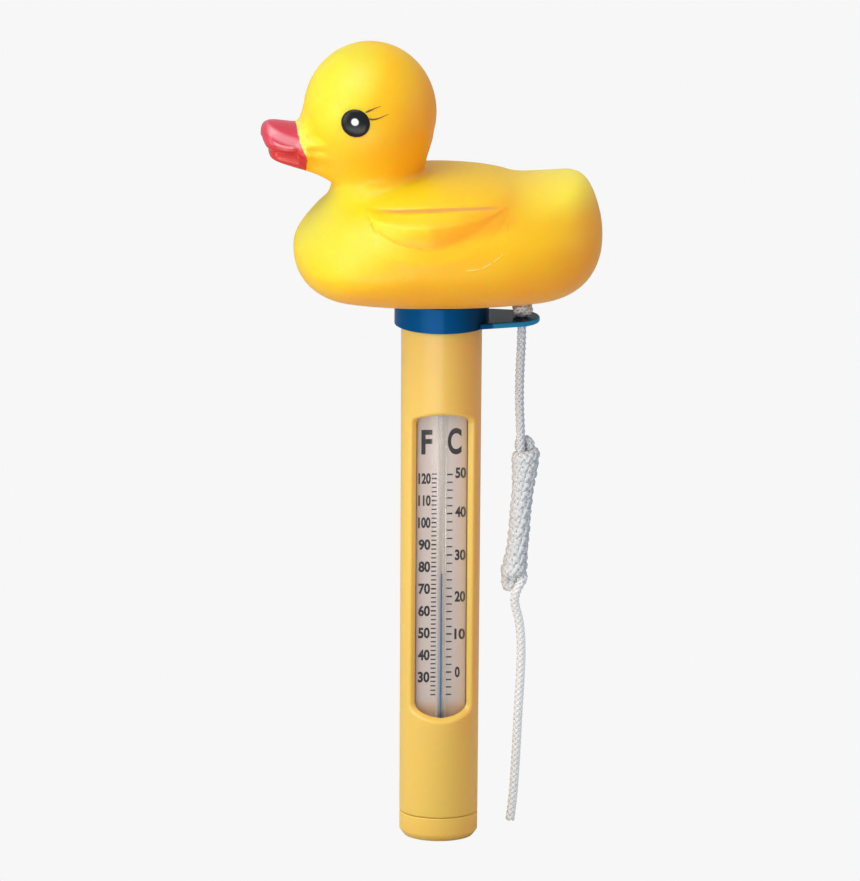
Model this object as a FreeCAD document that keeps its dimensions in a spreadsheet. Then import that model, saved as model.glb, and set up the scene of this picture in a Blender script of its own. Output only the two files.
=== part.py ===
import FreeCAD, Part

import math
import os

import Sketcher
from FreeCAD import Placement, Rotation, Vector

# Floating pool thermometer: a hollow vinyl duck float on top of a weighted, upright case tube.
# The origin is the centre of the flat base, +Z runs up the tube's axis, the scale window
# faces -Y, the duck looks towards -X and the lug of the tether collar points to +X.

doc = FreeCAD.newDocument("pool_thermometer")
sheet = doc.addObject("Spreadsheet::Sheet", "sizes")

SIZES = {
    # case tube, slightly tapered by its mould draft
    "case_bottom_radius": 11.7,
    "case_top_radius": 12.15,
    "case_bore_radius": 9.6,
    "case_bottom": 7.5,
    "case_shoulder": 158.0,
    "case_ledge": 149.9,
    "case_seam_chamfer": 0.3,
    "neck_radius": 10.0,
    "neck_bore_radius": 7.6,
    "neck_top": 165.7,
    # scale window: sloping sides and arched ends that open outwards
    "window_bottom": 37.6,
    "window_top": 132.0,
    "window_half_width": 7.3,
    "window_outer_half_width": 9.55,
    "window_inner_depth": 6.235,
    "window_outer_depth": 7.27,
    "window_bottom_radius": 13.5,
    "window_top_radius": 60.0,
    "window_end_flare": 0.44,
    # end cap
    "cap_floor": 2.4,
    "cap_top": 7.4,
    "cap_spigot_radius": 9.5,
    "cap_spigot_top": 14.0,
    "cap_cup_radius": 7.5,
    "cap_edge_chamfer": 1.5,
    "cap_seam_chamfer": 0.35,
    "cap_seal_height": 10.05,
    "cap_seal_radius": 0.55,
    # ballast and cushions
    "ballast_radius": 7.4,
    "ballast_bottom": 2.45,
    "ballast_top": 20.4,
    "ballast_chamfer": 0.6,
    "cushion_radius": 9.3,
    "lower_cushion_bottom": 20.5,
    "sleeve_bottom": 22.5,
    "sleeve_top": 146.0,
    "part_gap": 0.1,
    # clear sleeve with its plugs
    "sleeve_radius": 9.5,
    "sleeve_bore_radius": 9.1,
    "sleeve_plug_length": 3.5,
    "sleeve_fit": 0.05,
    # scale card and the glass stem in front of it
    "card_width": 15.0,
    "card_front": 5.0,
    "card_thickness": 0.8,
    "card_bottom": 36.2,
    "card_top": 136.0,
    "stem_depth": 6.5,
    "stem_radius": 1.5,
    "stem_bore_radius": 0.35,
    "stem_top": 138.5,
    "bulb_radius": 1.95,
    "bulb_bottom": 27.0,
    "bulb_top": 33.0,
    "bulb_wall": 0.35,
    "column_radius": 0.3,
    "column_bore_top": 134.0,
    "column_top": 82.0,
    "holder_thickness": 2.2,
    "holder_radius": 8.5,
    "lower_holder_bottom": 33.6,
    "upper_holder_bottom": 136.2,
    # tether collar
    "collar_radius": 14.2,
    "collar_bore_radius": 10.06,
    "collar_bottom": 158.1,
    "collar_top": 165.6,
    "lug_bottom": 158.3,
    "lug_top": 160.0,
    "lug_centre": 21.7,
    "lug_radius": 7.8,
    "lug_root": 11.0,
    "lug_root_half_width": 10.3,
    "lug_edge_fillet": 0.6,
    "eye_centre": 24.1,
    "eye_radius": 1.7,
    # plug that carries the float
    "plug_bottom": 152.0,
    "plug_radius": 7.5,
    "plug_bore_radius": 5.5,
    "plug_seal_height": 156.7,
    "plug_seal_radius": 0.48,
    "plug_seal_groove": 1.0,
    "plug_seal_slot": 1.4,
    "plug_flange_radius": 11.0,
    "plug_flange_bottom": 165.75,
    "plug_flange_top": 166.9,
    "plug_groove_radius": 8.0,
    "plug_barb_radius": 10.2,
    "plug_barb_bottom": 169.15,
    "plug_barb_rim": 170.5,
    "plug_tip_radius": 7.6,
    "plug_top": 176.0,
    "plug_roof": 173.5,
    # duck float
    "float_wall": 1.8,
    "float_inset": 0.955,
    "float_boss_radius": 16.5,
    "float_boss_top": 169.1,
    "float_seat_radius": 14.7,
    "float_seat_top": 165.9,
    "float_flange_seat_radius": 11.3,
    "float_flange_seat_top": 167.0,
    "float_hole_radius": 8.05,
    "head_radius": 20.2,
    "head_x": -21.6,
    "head_z": 224.4,
    "float_neck_x": -19.2,
    "float_neck_bottom": 190.0,
    "float_neck_top": 208.0,
    "float_neck_root_radius": 17.5,
    "float_neck_head_radius": 12.5,
    # tether cord
    "cord_radius": 1.3,
    "hank_radius": 3.5,
    "knot_radius": 3.25,
    "knot_height": 4.3,
    "knot_fillet": 1.4,
}

# The float's body, front to back, and its beak, root to tip: each station is an upright
# ellipse with its place along X, the height of its centre, its half height and half width.
BODY_STATIONS = [
    (-43.9, 181.8, 1.6, 3.5),
    (-42.8, 181.9, 4.6, 10.0),
    (-38.5, 182.3, 11.0, 19.7),
    (-29.8, 183.3, 17.0, 28.3),
    (-13.8, 184.9, 20.2, 34.7),
    (4.4, 185.4, 21.1, 36.0),
    (24.0, 184.1, 19.0, 32.6),
    (39.2, 186.2, 18.2, 23.5),
    (44.4, 185.6, 13.5, 16.4),
    (47.3, 184.3, 5.9, 7.9),
    (48.0, 184.0, 1.6, 2.4),
]
BEAK_STATIONS = [
    (-34.0, 215.5, 9.0, 9.6),
    (-43.5, 213.6, 7.4, 8.8),
    (-49.5, 214.2, 6.4, 8.2),
    (-53.2, 216.4, 3.8, 6.2),
    (-54.2, 217.0, 1.4, 2.6),
]

# Routes of the cord's three stretches, chosen by hand along how it hangs from the lug.
UPPER_ROUTE = [
    (24.1, 0.0, 160.0),
    (24.1, 0.0, 152.0),
    (23.6, 0.1, 143.0),
    (23.5, 0.2, 133.0),
    (24.3, 0.0, 123.4),
]
HANK_ROUTE = [
    (24.3, 0.0, 123.4),
    (25.2, 0.0, 112.0),
    (24.4, 0.2, 99.0),
    (22.9, 0.2, 87.0),
    (21.7, 0.0, 75.0),
]
LOWER_ROUTE = [
    (21.7, 0.0, 75.0),
    (22.6, 0.2, 70.6),
    (24.1, 0.3, 65.4),
    (24.7, 0.2, 57.5),
    (24.4, 0.0, 48.0),
    (23.8, -0.2, 38.5),
    (23.4, -0.2, 28.5),
    (22.9, 0.0, 18.5),
    (22.4, 0.2, 10.6),
    (21.6, 0.3, 4.6),
]

STATION_FIELDS = ("x", "z", "high", "wide")
# Turns an ellipse's own plane upright, with its long axis along Y.
ACROSS_X = Rotation(Vector(1, 1, 1), 120)
ALONG_Y = Rotation(Vector(1, 0, 0), 90)

nodes = []


def fill_sheet():
    cells = dict(SIZES)
    for stem, stations in (("body", BODY_STATIONS), ("beak", BEAK_STATIONS)):
        for index, station in enumerate(stations):
            for field, value in zip(STATION_FIELDS, station):
                cells[f"{stem}_{field}_no{index}"] = value
    for row, (alias, value) in enumerate(cells.items(), start=1):
        sheet.set(f"A{row}", alias)
        sheet.set(f"B{row}", str(value))
        sheet.setAlias(f"B{row}", alias)
    doc.recompute()


def size(alias):
    return float(sheet.get(alias))


def bind(feature, expressions):
    for path, expression in expressions.items():
        feature.setExpression(path, expression)


def node(feature, name):
    feature.Label = name
    nodes.append(feature)
    return feature


# ---- Part workbench helpers; each takes expressions on the sheet's cells ----


def cylinder(name, radius, bottom, top, x="0", y="0"):
    solid = doc.addObject("Part::Cylinder", name)
    bind(solid, {"Radius": radius, "Height": f"({top}) - ({bottom})"})
    bind(solid, {"Placement.Base.x": x, "Placement.Base.y": y, "Placement.Base.z": bottom})
    return solid


def cone(name, bottom_radius, top_radius, bottom, top, x="0"):
    solid = doc.addObject("Part::Cone", name)
    bind(solid, {"Radius1": bottom_radius, "Radius2": top_radius})
    bind(solid, {"Height": f"({top}) - ({bottom})"})
    bind(solid, {"Placement.Base.x": x, "Placement.Base.z": bottom})
    return solid


def ring(name, radius, section_radius, height):
    solid = doc.addObject("Part::Torus", name)
    bind(solid, {"Radius1": radius, "Radius2": section_radius, "Placement.Base.z": height})
    return solid


def sphere(name, radius, x, z):
    solid = doc.addObject("Part::Sphere", name)
    bind(solid, {"Radius": radius, "Placement.Base.x": x, "Placement.Base.z": z})
    return solid


def boolean(kind, name, shapes):
    feature = doc.addObject(f"Part::{kind}", name)
    if kind == "Cut":
        feature.Base, feature.Tool = shapes
    else:
        feature.Shapes = shapes
    return feature


def cut(name, base, tool):
    return boolean("Cut", name, [base, tool])


def fuse(name, *shapes):
    return boolean("MultiFuse", name, list(shapes))


def common(name, *shapes):
    return boolean("MultiCommon", name, list(shapes))


def ring_edges(shape, radius, height):
    """Names of the round edges about the Z axis at a radius and height."""
    names = []
    for number, edge in enumerate(shape.Edges, start=1):
        curve = edge.Curve
        if not isinstance(curve, Part.Circle):
            continue
        if abs(curve.Radius - radius) < 1e-3 and abs(edge.BoundBox.Center.z - height) < 1e-3:
            names.append(f"Edge{number}")
    return names


# ---- PartDesign helpers ----


def new_body(name):
    return node(doc.addObject("PartDesign::Body", name), name)


def new_sketch(body, name, plane, offset="0"):
    sketch = body.newObject("Sketcher::SketchObject", name)
    planes = {feature.Role: feature for feature in body.Origin.OriginFeatures}
    sketch.AttachmentSupport = (planes[plane], [""])
    sketch.MapMode = "FlatFace"
    sketch.setExpression("AttachmentOffset.Base.z", offset)
    return sketch


def constrain(sketch, constraint, expression=None):
    index = sketch.addConstraint(constraint)
    if expression:
        sketch.setExpression(f"Constraints[{index}]", expression)


def add_polygon(sketch, corners, values):
    """Closed outline through corners given as pairs of expressions, fully dimensioned."""
    points = [Vector(x, y, 0) for x, y in values]
    count = len(points)
    first = sketch.GeometryCount
    for index in range(count):
        sketch.addGeometry(Part.LineSegment(points[index], points[(index + 1) % count]))
    for index in range(count):
        following = first + (index + 1) % count
        constrain(sketch, Sketcher.Constraint("Coincident", first + index, 2, following, 1))
    for index, (corner, point) in enumerate(zip(corners, points)):
        for kind, axis, expression, value in (
            ("DistanceX", -2, corner[0], point.x),
            ("DistanceY", -1, corner[1], point.y),
        ):
            line = first + index
            if expression == "0":
                constrain(sketch, Sketcher.Constraint("PointOnObject", line, 1, axis))
            else:
                constrain(sketch, Sketcher.Constraint(kind, -1, 1, line, 1, value), expression)


def value_of(expression):
    return float(sheet.evalExpression(expression))


def add_circle(sketch, radius, x="0"):
    centre = Vector(value_of(x), 0, 0)
    index = sketch.addGeometry(Part.Circle(centre, Vector(0, 0, 1), value_of(radius)))
    if x == "0":
        constrain(sketch, Sketcher.Constraint("Coincident", index, 3, -1, 1))
    else:
        constrain(sketch, Sketcher.Constraint("PointOnObject", index, 3, -1))
        constrain(sketch, Sketcher.Constraint("DistanceX", -1, 1, index, 3, centre.x), x)
    constrain(sketch, Sketcher.Constraint("Radius", index, value_of(radius)), radius)


def revolved_body(name, profile):
    """A turned piece: its half profile, as (radius, height) expressions, about Z."""
    body = new_body(name)
    sketch = new_sketch(body, f"{name}_profile", "XZ_Plane")
    add_polygon(sketch, profile, [(value_of(r), value_of(z)) for r, z in profile])
    turned = body.newObject("PartDesign::Revolution", f"{name}_turned")
    turned.Profile = sketch
    turned.ReferenceAxis = (sketch, ["V_Axis"])
    turned.Angle = 360.0
    doc.recompute()
    return body


def pad(body, sketch, length):
    feature = body.newObject("PartDesign::Pad", f"{sketch.Name}_pad")
    feature.Profile = sketch
    feature.setExpression("Length", length)
    doc.recompute()
    return feature


def through_pocket(body, sketch):
    """Cuts a sketch through everything above it, and stops if nothing was removed."""
    before = body.Shape.Volume
    feature = body.newObject("PartDesign::Pocket", f"{sketch.Name}_pocket")
    feature.Profile = sketch
    feature.Type = "ThroughAll"
    feature.Reversed = True
    doc.recompute()
    if body.Shape.Volume >= before - 1e-6:
        raise RuntimeError(f"{feature.Name} removed nothing")
    return feature


def dress_edges(body, kind, name, edges, measure):
    """Adds a Fillet or a Chamfer to named edges of the body's tip."""
    feature = body.newObject(f"PartDesign::{kind}", name)
    feature.Base = (body.Group[-2], edges)
    feature.setExpression("Radius" if kind == "Fillet" else "Size", measure)
    doc.recompute()
    return feature


# ---- casing ----


def make_window_tool():
    """The shape cut out of the tube's front: sloping sides and two arched, flared ends."""
    sides = doc.addObject("Part::Wedge", "window_sides")
    slope = (
        "(sizes.window_outer_half_width - sizes.window_half_width)"
        " / (sizes.window_outer_depth - sizes.window_inner_depth)"
    )
    # The wedge widens from just below the window's inner edge to 6 mm above it.
    near = f"(sizes.window_half_width - 0.5 * {slope})"
    far = f"(sizes.window_half_width + 6 * {slope})"
    bind(sides, {"Xmin": f"-{near}", "Xmax": near, "X2min": f"-{far}", "X2max": far})
    bind(sides, {"Zmin": "0", "Zmax": "sizes.case_ledge"})
    bind(sides, {"Z2min": "0", "Z2max": "sizes.case_ledge"})
    bind(sides, {"Ymin": "sizes.window_inner_depth - 0.5"})
    bind(sides, {"Ymax": "sizes.window_inner_depth + 6"})
    sides.Placement = Placement(Vector(0, 0, 0), Rotation(Vector(0, 0, 1), 180))

    bottom_centre = "(sizes.window_bottom + sizes.window_bottom_radius)"
    top_centre = "(sizes.window_top - sizes.window_top_radius)"
    above_bottom = window_outline("bottom", bottom_centre, bottom_centre)
    below_top = window_outline("top", top_centre, f"{top_centre} - sizes.case_shoulder")
    return common("window_tool", sides, above_bottom, below_top)


def window_outline(label, centre, box_bottom):
    """An arched end, which is a cone along Y, with a box over the window's other end."""
    arch = doc.addObject("Part::Cone", f"window_{label}_arch")
    arch.Placement = Placement(Vector(0, 0, 0), ALONG_Y)
    radius = f"sizes.window_{label}_radius"
    bind(arch, {"Radius1": f"{radius} - 6 * sizes.window_end_flare"})
    bind(arch, {"Radius2": f"{radius} + 6 * sizes.window_end_flare"})
    bind(arch, {"Height": "12"})
    bind(arch, {"Placement.Base.y": "6 - sizes.case_bore_radius", "Placement.Base.z": centre})
    box = doc.addObject("Part::Box", f"window_{label}_box")
    bind(box, {"Length": "60", "Width": "20", "Height": "sizes.case_shoulder"})
    bind(box, {"Placement.Base.x": "-30", "Placement.Base.y": "-20"})
    bind(box, {"Placement.Base.z": box_bottom})
    return fuse(f"window_{label}_outline", arch, box)


def make_case_tube():
    wall = cone(
        "case_wall",
        "sizes.case_bottom_radius",
        "sizes.case_top_radius",
        "sizes.case_bottom",
        "sizes.case_shoulder",
    )
    neck = cylinder("case_neck", "sizes.neck_radius", "sizes.case_ledge", "sizes.neck_top")
    bore = cylinder("case_bore", "sizes.case_bore_radius", "0", "sizes.case_ledge")
    neck_bore = cylinder("neck_bore", "sizes.neck_bore_radius", "0", "sizes.neck_top + 1")
    outside = fuse("case_outside", wall, neck)
    inside = fuse("case_inside", bore, neck_bore)
    hollow = cut("case_hollow", outside, inside)
    opened = cut("case_opened", hollow, make_window_tool())
    doc.recompute()
    edges = ring_edges(opened.Shape, size("case_bottom_radius"), size("case_bottom"))
    chamfer = size("case_seam_chamfer")
    case = doc.addObject("Part::Chamfer", "case_tube")
    case.Base = opened
    case.Edges = [(int(edge[4:]), chamfer, chamfer) for edge in edges]
    node(case, "case_tube")


def make_end_cap():
    groove_low = "sizes.cap_seal_height - sizes.cap_seal_radius - sizes.sleeve_fit"
    groove_high = "sizes.cap_seal_height + sizes.cap_seal_radius + sizes.sleeve_fit"
    groove_radius = "sizes.cap_spigot_radius - 2 * sizes.cap_seal_radius"
    cap = revolved_body(
        "end_cap",
        [
            ("0", "0"),
            ("sizes.case_bottom_radius", "0"),
            ("sizes.case_bottom_radius", "sizes.cap_top"),
            ("sizes.cap_spigot_radius", "sizes.cap_top"),
            ("sizes.cap_spigot_radius", groove_low),
            (groove_radius, groove_low),
            (groove_radius, groove_high),
            ("sizes.cap_spigot_radius", groove_high),
            ("sizes.cap_spigot_radius", "sizes.cap_spigot_top"),
            ("sizes.cap_cup_radius", "sizes.cap_spigot_top"),
            ("sizes.cap_cup_radius", "sizes.cap_floor"),
            ("0", "sizes.cap_floor"),
        ],
    )
    outer = size("case_bottom_radius")
    base_edge = ring_edges(cap.Shape, outer, 0.0)
    dress_edges(cap, "Chamfer", "cap_edge", base_edge, "sizes.cap_edge_chamfer")
    seam_edge = ring_edges(cap.Shape, outer, size("cap_top"))
    dress_edges(cap, "Chamfer", "cap_seam", seam_edge, "sizes.cap_seam_chamfer")

    seal_radius = "sizes.cap_spigot_radius - sizes.cap_seal_radius"
    seal = ring("cap_seal", seal_radius, "sizes.cap_seal_radius", "sizes.cap_seal_height")
    node(seal, "cap_seal")


def make_ballast():
    weight = revolved_body(
        "ballast_weight",
        [
            ("0", "sizes.ballast_bottom"),
            ("sizes.ballast_radius", "sizes.ballast_bottom"),
            ("sizes.ballast_radius", "sizes.ballast_top"),
            ("0", "sizes.ballast_top"),
        ],
    )
    top_edge = ring_edges(weight.Shape, size("ballast_radius"), size("ballast_top"))
    dress_edges(weight, "Chamfer", "ballast_edge", top_edge, "sizes.ballast_chamfer")


def make_cushions():
    lower_top = "sizes.sleeve_bottom - sizes.part_gap"
    lower = cylinder(
        "lower_cushion", "sizes.cushion_radius", "sizes.lower_cushion_bottom", lower_top
    )
    node(lower, "lower_cushion")
    upper_bottom = "sizes.sleeve_top + sizes.part_gap"
    upper_top = "sizes.case_ledge - sizes.part_gap"
    disc = cylinder("cushion_disc", "sizes.cushion_radius", upper_bottom, upper_top)
    hole = cylinder("cushion_hole", "sizes.plug_bore_radius", upper_bottom, upper_top)
    node(cut("upper_cushion", disc, hole), "upper_cushion")


# ---- thermometer inside ----


def make_sleeve():
    outside = cylinder(
        "sleeve_outside", "sizes.sleeve_radius", "sizes.sleeve_bottom", "sizes.sleeve_top"
    )
    bore = cylinder(
        "sleeve_bore", "sizes.sleeve_bore_radius", "sizes.sleeve_bottom", "sizes.sleeve_top"
    )
    node(cut("clear_sleeve", outside, bore), "clear_sleeve")
    plug_radius = "sizes.sleeve_bore_radius - sizes.sleeve_fit"
    length = "sizes.sleeve_plug_length"
    lower = cylinder(
        "sleeve_lower_plug", plug_radius, "sizes.sleeve_bottom", f"sizes.sleeve_bottom + {length}"
    )
    upper = cylinder(
        "sleeve_upper_plug", plug_radius, f"sizes.sleeve_top - {length}", "sizes.sleeve_top"
    )
    node(lower, "sleeve_lower_plug")
    node(upper, "sleeve_upper_plug")


def make_scale_card():
    card = new_body("scale_card")
    outline = new_sketch(card, "scale_card_outline", "XY_Plane", "sizes.card_bottom")
    half = "0.5 * sizes.card_width"
    back = "sizes.card_thickness - sizes.card_front"
    corners = [
        (f"-{half}", "-sizes.card_front"),
        (half, "-sizes.card_front"),
        (half, back),
        (f"-{half}", back),
    ]
    add_polygon(outline, corners, [(value_of(x), value_of(y)) for x, y in corners])
    pad(card, outline, "sizes.card_top - sizes.card_bottom")


def make_glass_stem():
    """Stem with a fine bore above a thin-walled bulb, all of one piece of glass."""
    axis = "-sizes.stem_depth"
    stem = cylinder(
        "stem_rod", "sizes.stem_radius", "sizes.bulb_top", "sizes.stem_top", y=axis
    )
    bulb = cylinder("bulb_wall", "sizes.bulb_radius", "sizes.bulb_bottom", "sizes.bulb_top", y=axis)
    cavity_radius = "sizes.bulb_radius - sizes.bulb_wall"
    cavity_bottom = "sizes.bulb_bottom + sizes.bulb_wall"
    cavity_top = "sizes.bulb_top - sizes.bulb_wall"
    cavity = cylinder("bulb_cavity", cavity_radius, cavity_bottom, cavity_top, y=axis)
    bore = cylinder(
        "stem_bore", "sizes.stem_bore_radius", cavity_top, "sizes.column_bore_top", y=axis
    )
    glass = fuse("stem_glass", stem, bulb)
    inside = fuse("stem_inside", cavity, bore)
    node(cut("glass_stem", glass, inside), "glass_stem")

    fit = "sizes.sleeve_fit"
    spirit = cylinder(
        "spirit_reservoir",
        f"{cavity_radius} - {fit}",
        f"{cavity_bottom} + {fit}",
        f"{cavity_top} - {fit}",
        y=axis,
    )
    node(spirit, "spirit_reservoir")
    column = cylinder(
        "spirit_column", "sizes.column_radius", cavity_top, "sizes.column_top", y=axis
    )
    node(column, "spirit_column")


def make_stem_holders():
    """Two discs across the sleeve, each slotted for the card and holed for the stem."""
    for name, bottom in (
        ("lower_stem_holder", "sizes.lower_holder_bottom"),
        ("upper_stem_holder", "sizes.upper_holder_bottom"),
    ):
        top = f"{bottom} + sizes.holder_thickness"
        disc = cylinder(f"{name}_disc", "sizes.holder_radius", bottom, top)
        hole_radius = "sizes.stem_radius + sizes.sleeve_fit"
        hole = cylinder(f"{name}_hole", hole_radius, bottom, top, y="-sizes.stem_depth")
        node(cut(name, disc, hole), name)


# ---- tether collar and the plug that carries the float ----


def make_tether_collar():
    collar = new_body("tether_collar")
    disc = new_sketch(collar, "collar_disc", "XY_Plane", "sizes.collar_bottom")
    add_circle(disc, "sizes.collar_radius")
    pad(collar, disc, "sizes.collar_top - sizes.collar_bottom")

    lug = new_sketch(collar, "collar_lug", "XY_Plane", "sizes.lug_bottom")
    add_lug_outline(lug)
    pad(collar, lug, "sizes.lug_top - sizes.lug_bottom")
    rim = lug_rim_edges(collar.Shape)
    dress_edges(collar, "Fillet", "lug_rim", rim, "sizes.lug_edge_fillet")

    bore = new_sketch(collar, "collar_bore", "XY_Plane", "sizes.collar_bottom")
    add_circle(bore, "sizes.collar_bore_radius")
    through_pocket(collar, bore)
    eye = new_sketch(collar, "collar_eye", "XY_Plane", "sizes.lug_bottom")
    add_circle(eye, "sizes.eye_radius", x="sizes.eye_centre")
    through_pocket(collar, eye)


def add_lug_outline(sketch):
    """A round tip with two tangent sides that spread out towards the ring."""
    centre, radius = size("lug_centre"), size("lug_radius")
    root, half = size("lug_root"), size("lug_root_half_width")
    taper = math.atan2(half - radius, centre - root)
    touch = Vector(centre + radius * math.sin(taper), radius * math.cos(taper), 0)
    lower_touch = Vector(touch.x, -touch.y, 0)
    upper_root, lower_root = Vector(root, half, 0), Vector(root, -half, 0)
    tip = Part.Circle(Vector(centre, 0, 0), Vector(0, 0, 1), radius)
    end_angle = math.pi / 2 - taper
    arc = sketch.addGeometry(Part.ArcOfCircle(tip, -end_angle, end_angle))
    upper = sketch.addGeometry(Part.LineSegment(touch, upper_root))
    back = sketch.addGeometry(Part.LineSegment(upper_root, lower_root))
    lower = sketch.addGeometry(Part.LineSegment(lower_root, lower_touch))
    link = Sketcher.Constraint
    constrain(sketch, link("PointOnObject", arc, 3, -1))
    constrain(sketch, link("DistanceX", -1, 1, arc, 3, centre), "sizes.lug_centre")
    constrain(sketch, link("Radius", arc, radius), "sizes.lug_radius")
    constrain(sketch, link("Tangent", arc, 2, upper, 1))
    constrain(sketch, link("Coincident", upper, 2, back, 1))
    constrain(sketch, link("Coincident", back, 2, lower, 1))
    constrain(sketch, link("Tangent", lower, 2, arc, 1))
    constrain(sketch, link("Symmetric", back, 1, back, 2, -1))
    constrain(sketch, link("DistanceX", -1, 1, back, 1, root), "sizes.lug_root")
    constrain(sketch, link("DistanceY", -1, 1, back, 1, half), "sizes.lug_root_half_width")


def lug_rim_edges(shape):
    """Names of the edges round the lug's top and bottom faces, outside the ring."""
    heights = (size("lug_bottom"), size("lug_top"))
    names = []
    for number, edge in enumerate(shape.Edges, start=1):
        box = edge.BoundBox
        level = any(abs(box.ZMin - z) < 1e-3 and abs(box.ZMax - z) < 1e-3 for z in heights)
        middle = edge.valueAt((edge.FirstParameter + edge.LastParameter) / 2)
        if level and math.hypot(middle.x, middle.y) > size("collar_radius") + 0.5:
            names.append(f"Edge{number}")
    return names


def make_float_plug():
    half_slot = "0.5 * sizes.plug_seal_slot"
    slot_low = f"sizes.plug_seal_height - {half_slot}"
    slot_high = f"sizes.plug_seal_height + {half_slot}"
    slot_radius = "sizes.plug_radius - sizes.plug_seal_groove"
    revolved_body(
        "float_plug",
        [
            ("sizes.plug_bore_radius", "sizes.plug_bottom"),
            ("sizes.plug_radius", "sizes.plug_bottom"),
            ("sizes.plug_radius", slot_low),
            (slot_radius, slot_low),
            (slot_radius, slot_high),
            ("sizes.plug_radius", slot_high),
            ("sizes.plug_radius", "sizes.plug_flange_bottom"),
            ("sizes.plug_flange_radius", "sizes.plug_flange_bottom"),
            ("sizes.plug_flange_radius", "sizes.plug_flange_top"),
            ("sizes.plug_groove_radius", "sizes.plug_flange_top"),
            ("sizes.plug_groove_radius", "sizes.plug_barb_bottom"),
            ("sizes.plug_barb_radius", "sizes.plug_barb_bottom"),
            ("sizes.plug_barb_radius", "sizes.plug_barb_rim"),
            ("sizes.plug_tip_radius", "sizes.plug_top"),
            ("0", "sizes.plug_top"),
            ("0", "sizes.plug_roof"),
            ("sizes.plug_bore_radius", "sizes.plug_roof"),
        ],
    )
    seal_radius = "sizes.plug_radius - 0.5 * sizes.plug_seal_groove"
    seal = ring("plug_seal", seal_radius, "sizes.plug_seal_radius", "sizes.plug_seal_height")
    node(seal, "plug_seal")


# ---- duck float ----


def station_loft(name, stem, numbers, wall="0", inset="1"):
    """A solid through numbered elliptical stations, drawn in by a wall for a cavity."""
    sections = []
    for number in numbers:
        section = doc.addObject("Part::Ellipse", f"{name}_section_{number}")
        section.Placement = Placement(Vector(0, 0, 0), ACROSS_X)
        bind(section, {"MajorRadius": f"sizes.{stem}_wide_no{number} - {wall}"})
        bind(section, {"MinorRadius": f"sizes.{stem}_high_no{number} - {wall}"})
        bind(section, {"Placement.Base.x": f"sizes.{stem}_x_no{number} * {inset}"})
        bind(section, {"Placement.Base.z": f"sizes.{stem}_z_no{number}"})
        sections.append(section)
    loft = doc.addObject("Part::Loft", name)
    loft.Sections = sections
    loft.Solid = True
    return loft


def float_neck(name, wall):
    return cone(
        name,
        f"sizes.float_neck_root_radius - {wall}",
        f"sizes.float_neck_head_radius - {wall}",
        "sizes.float_neck_bottom",
        "sizes.float_neck_top",
        x="sizes.float_neck_x",
    )


def make_duck_float():
    wall = "sizes.float_wall"
    trunk = station_loft("float_trunk", "body", range(len(BODY_STATIONS)))
    beak = station_loft("float_beak", "beak", range(len(BEAK_STATIONS)))
    head = sphere("float_head", "sizes.head_radius", "sizes.head_x", "sizes.head_z")
    neck = float_neck("float_neck", "0")
    outside = fuse("float_outside", trunk, neck, head, beak)

    inner_numbers = range(1, len(BODY_STATIONS) - 1)
    trunk_cavity = station_loft("trunk_cavity", "body", inner_numbers, wall, "sizes.float_inset")
    head_cavity = sphere(
        "head_cavity", f"sizes.head_radius - {wall}", "sizes.head_x", "sizes.head_z"
    )
    neck_cavity = float_neck("neck_cavity", wall)
    boss = cylinder(
        "float_boss", "sizes.float_boss_radius", "sizes.plug_bottom", "sizes.float_boss_top"
    )
    cavity = fuse("float_cavity", trunk_cavity, neck_cavity, head_cavity)
    cavity_above_boss = cut("cavity_above_boss", cavity, boss)
    collar_seat = cylinder(
        "float_collar_seat", "sizes.float_seat_radius", "sizes.plug_bottom", "sizes.float_seat_top"
    )
    flange_seat = cylinder(
        "float_flange_seat",
        "sizes.float_flange_seat_radius",
        "sizes.plug_bottom",
        "sizes.float_flange_seat_top",
    )
    hole = cylinder(
        "float_hole", "sizes.float_hole_radius", "sizes.plug_bottom", "sizes.plug_top"
    )
    removed = fuse("float_removed", cavity_above_boss, collar_seat, flange_seat, hole)
    node(cut("duck_float", outside, removed), "duck_float")


# ---- tether cord ----


def rounded_path(route):
    """Straight runs joined by tangent arcs, and each arc's radius."""
    points = [Vector(*point) for point in route]
    edges, radii = [], []
    start = points[0]
    for before, corner, after in zip(points, points[1:], points[2:]):
        incoming = (corner - before).normalize()
        outgoing = (after - corner).normalize()
        turn = incoming.getAngle(outgoing)
        shorter = min((corner - before).Length, (after - corner).Length)
        reach = 0.45 * shorter
        radii.append(reach / math.tan(turn / 2))
        arc_start = corner - incoming * reach
        arc_end = corner + outgoing * reach
        toward_centre = (outgoing - incoming).normalize()
        offset = radii[-1] / math.cos(turn / 2) - radii[-1]
        edges.append(Part.LineSegment(start, arc_start).toShape())
        edges.append(Part.Arc(arc_start, corner + toward_centre * offset, arc_end).toShape())
        start = arc_end
    edges.append(Part.LineSegment(start, points[-1]).toShape())
    return Part.Wire(edges), radii


def make_cord_stretch(name, route, radius):
    path, radii = rounded_path(route)
    first = Vector(*route[0])
    direction = Vector(*route[1]) - first
    profile = Part.Wire([Part.Circle(first, direction, radius).toShape()])
    stretch = doc.addObject("Part::Feature", name)
    stretch.Shape = path.makePipeShell([profile], True, False)
    stretch.Placement = Placement()
    expected = math.pi * radius**2 * path.Length
    shown = ", ".join(f"{value:.0f}" for value in radii)
    print(f"{name}: length {path.Length:.1f}, volume ratio {stretch.Shape.Volume / expected:.4f}")
    print(f"{name}: arc radii {shown}")
    if abs(stretch.Shape.Volume / expected - 1) > 0.01:
        raise RuntimeError(f"{name} is not a plain tube along its route")
    node(stretch, name)


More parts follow.
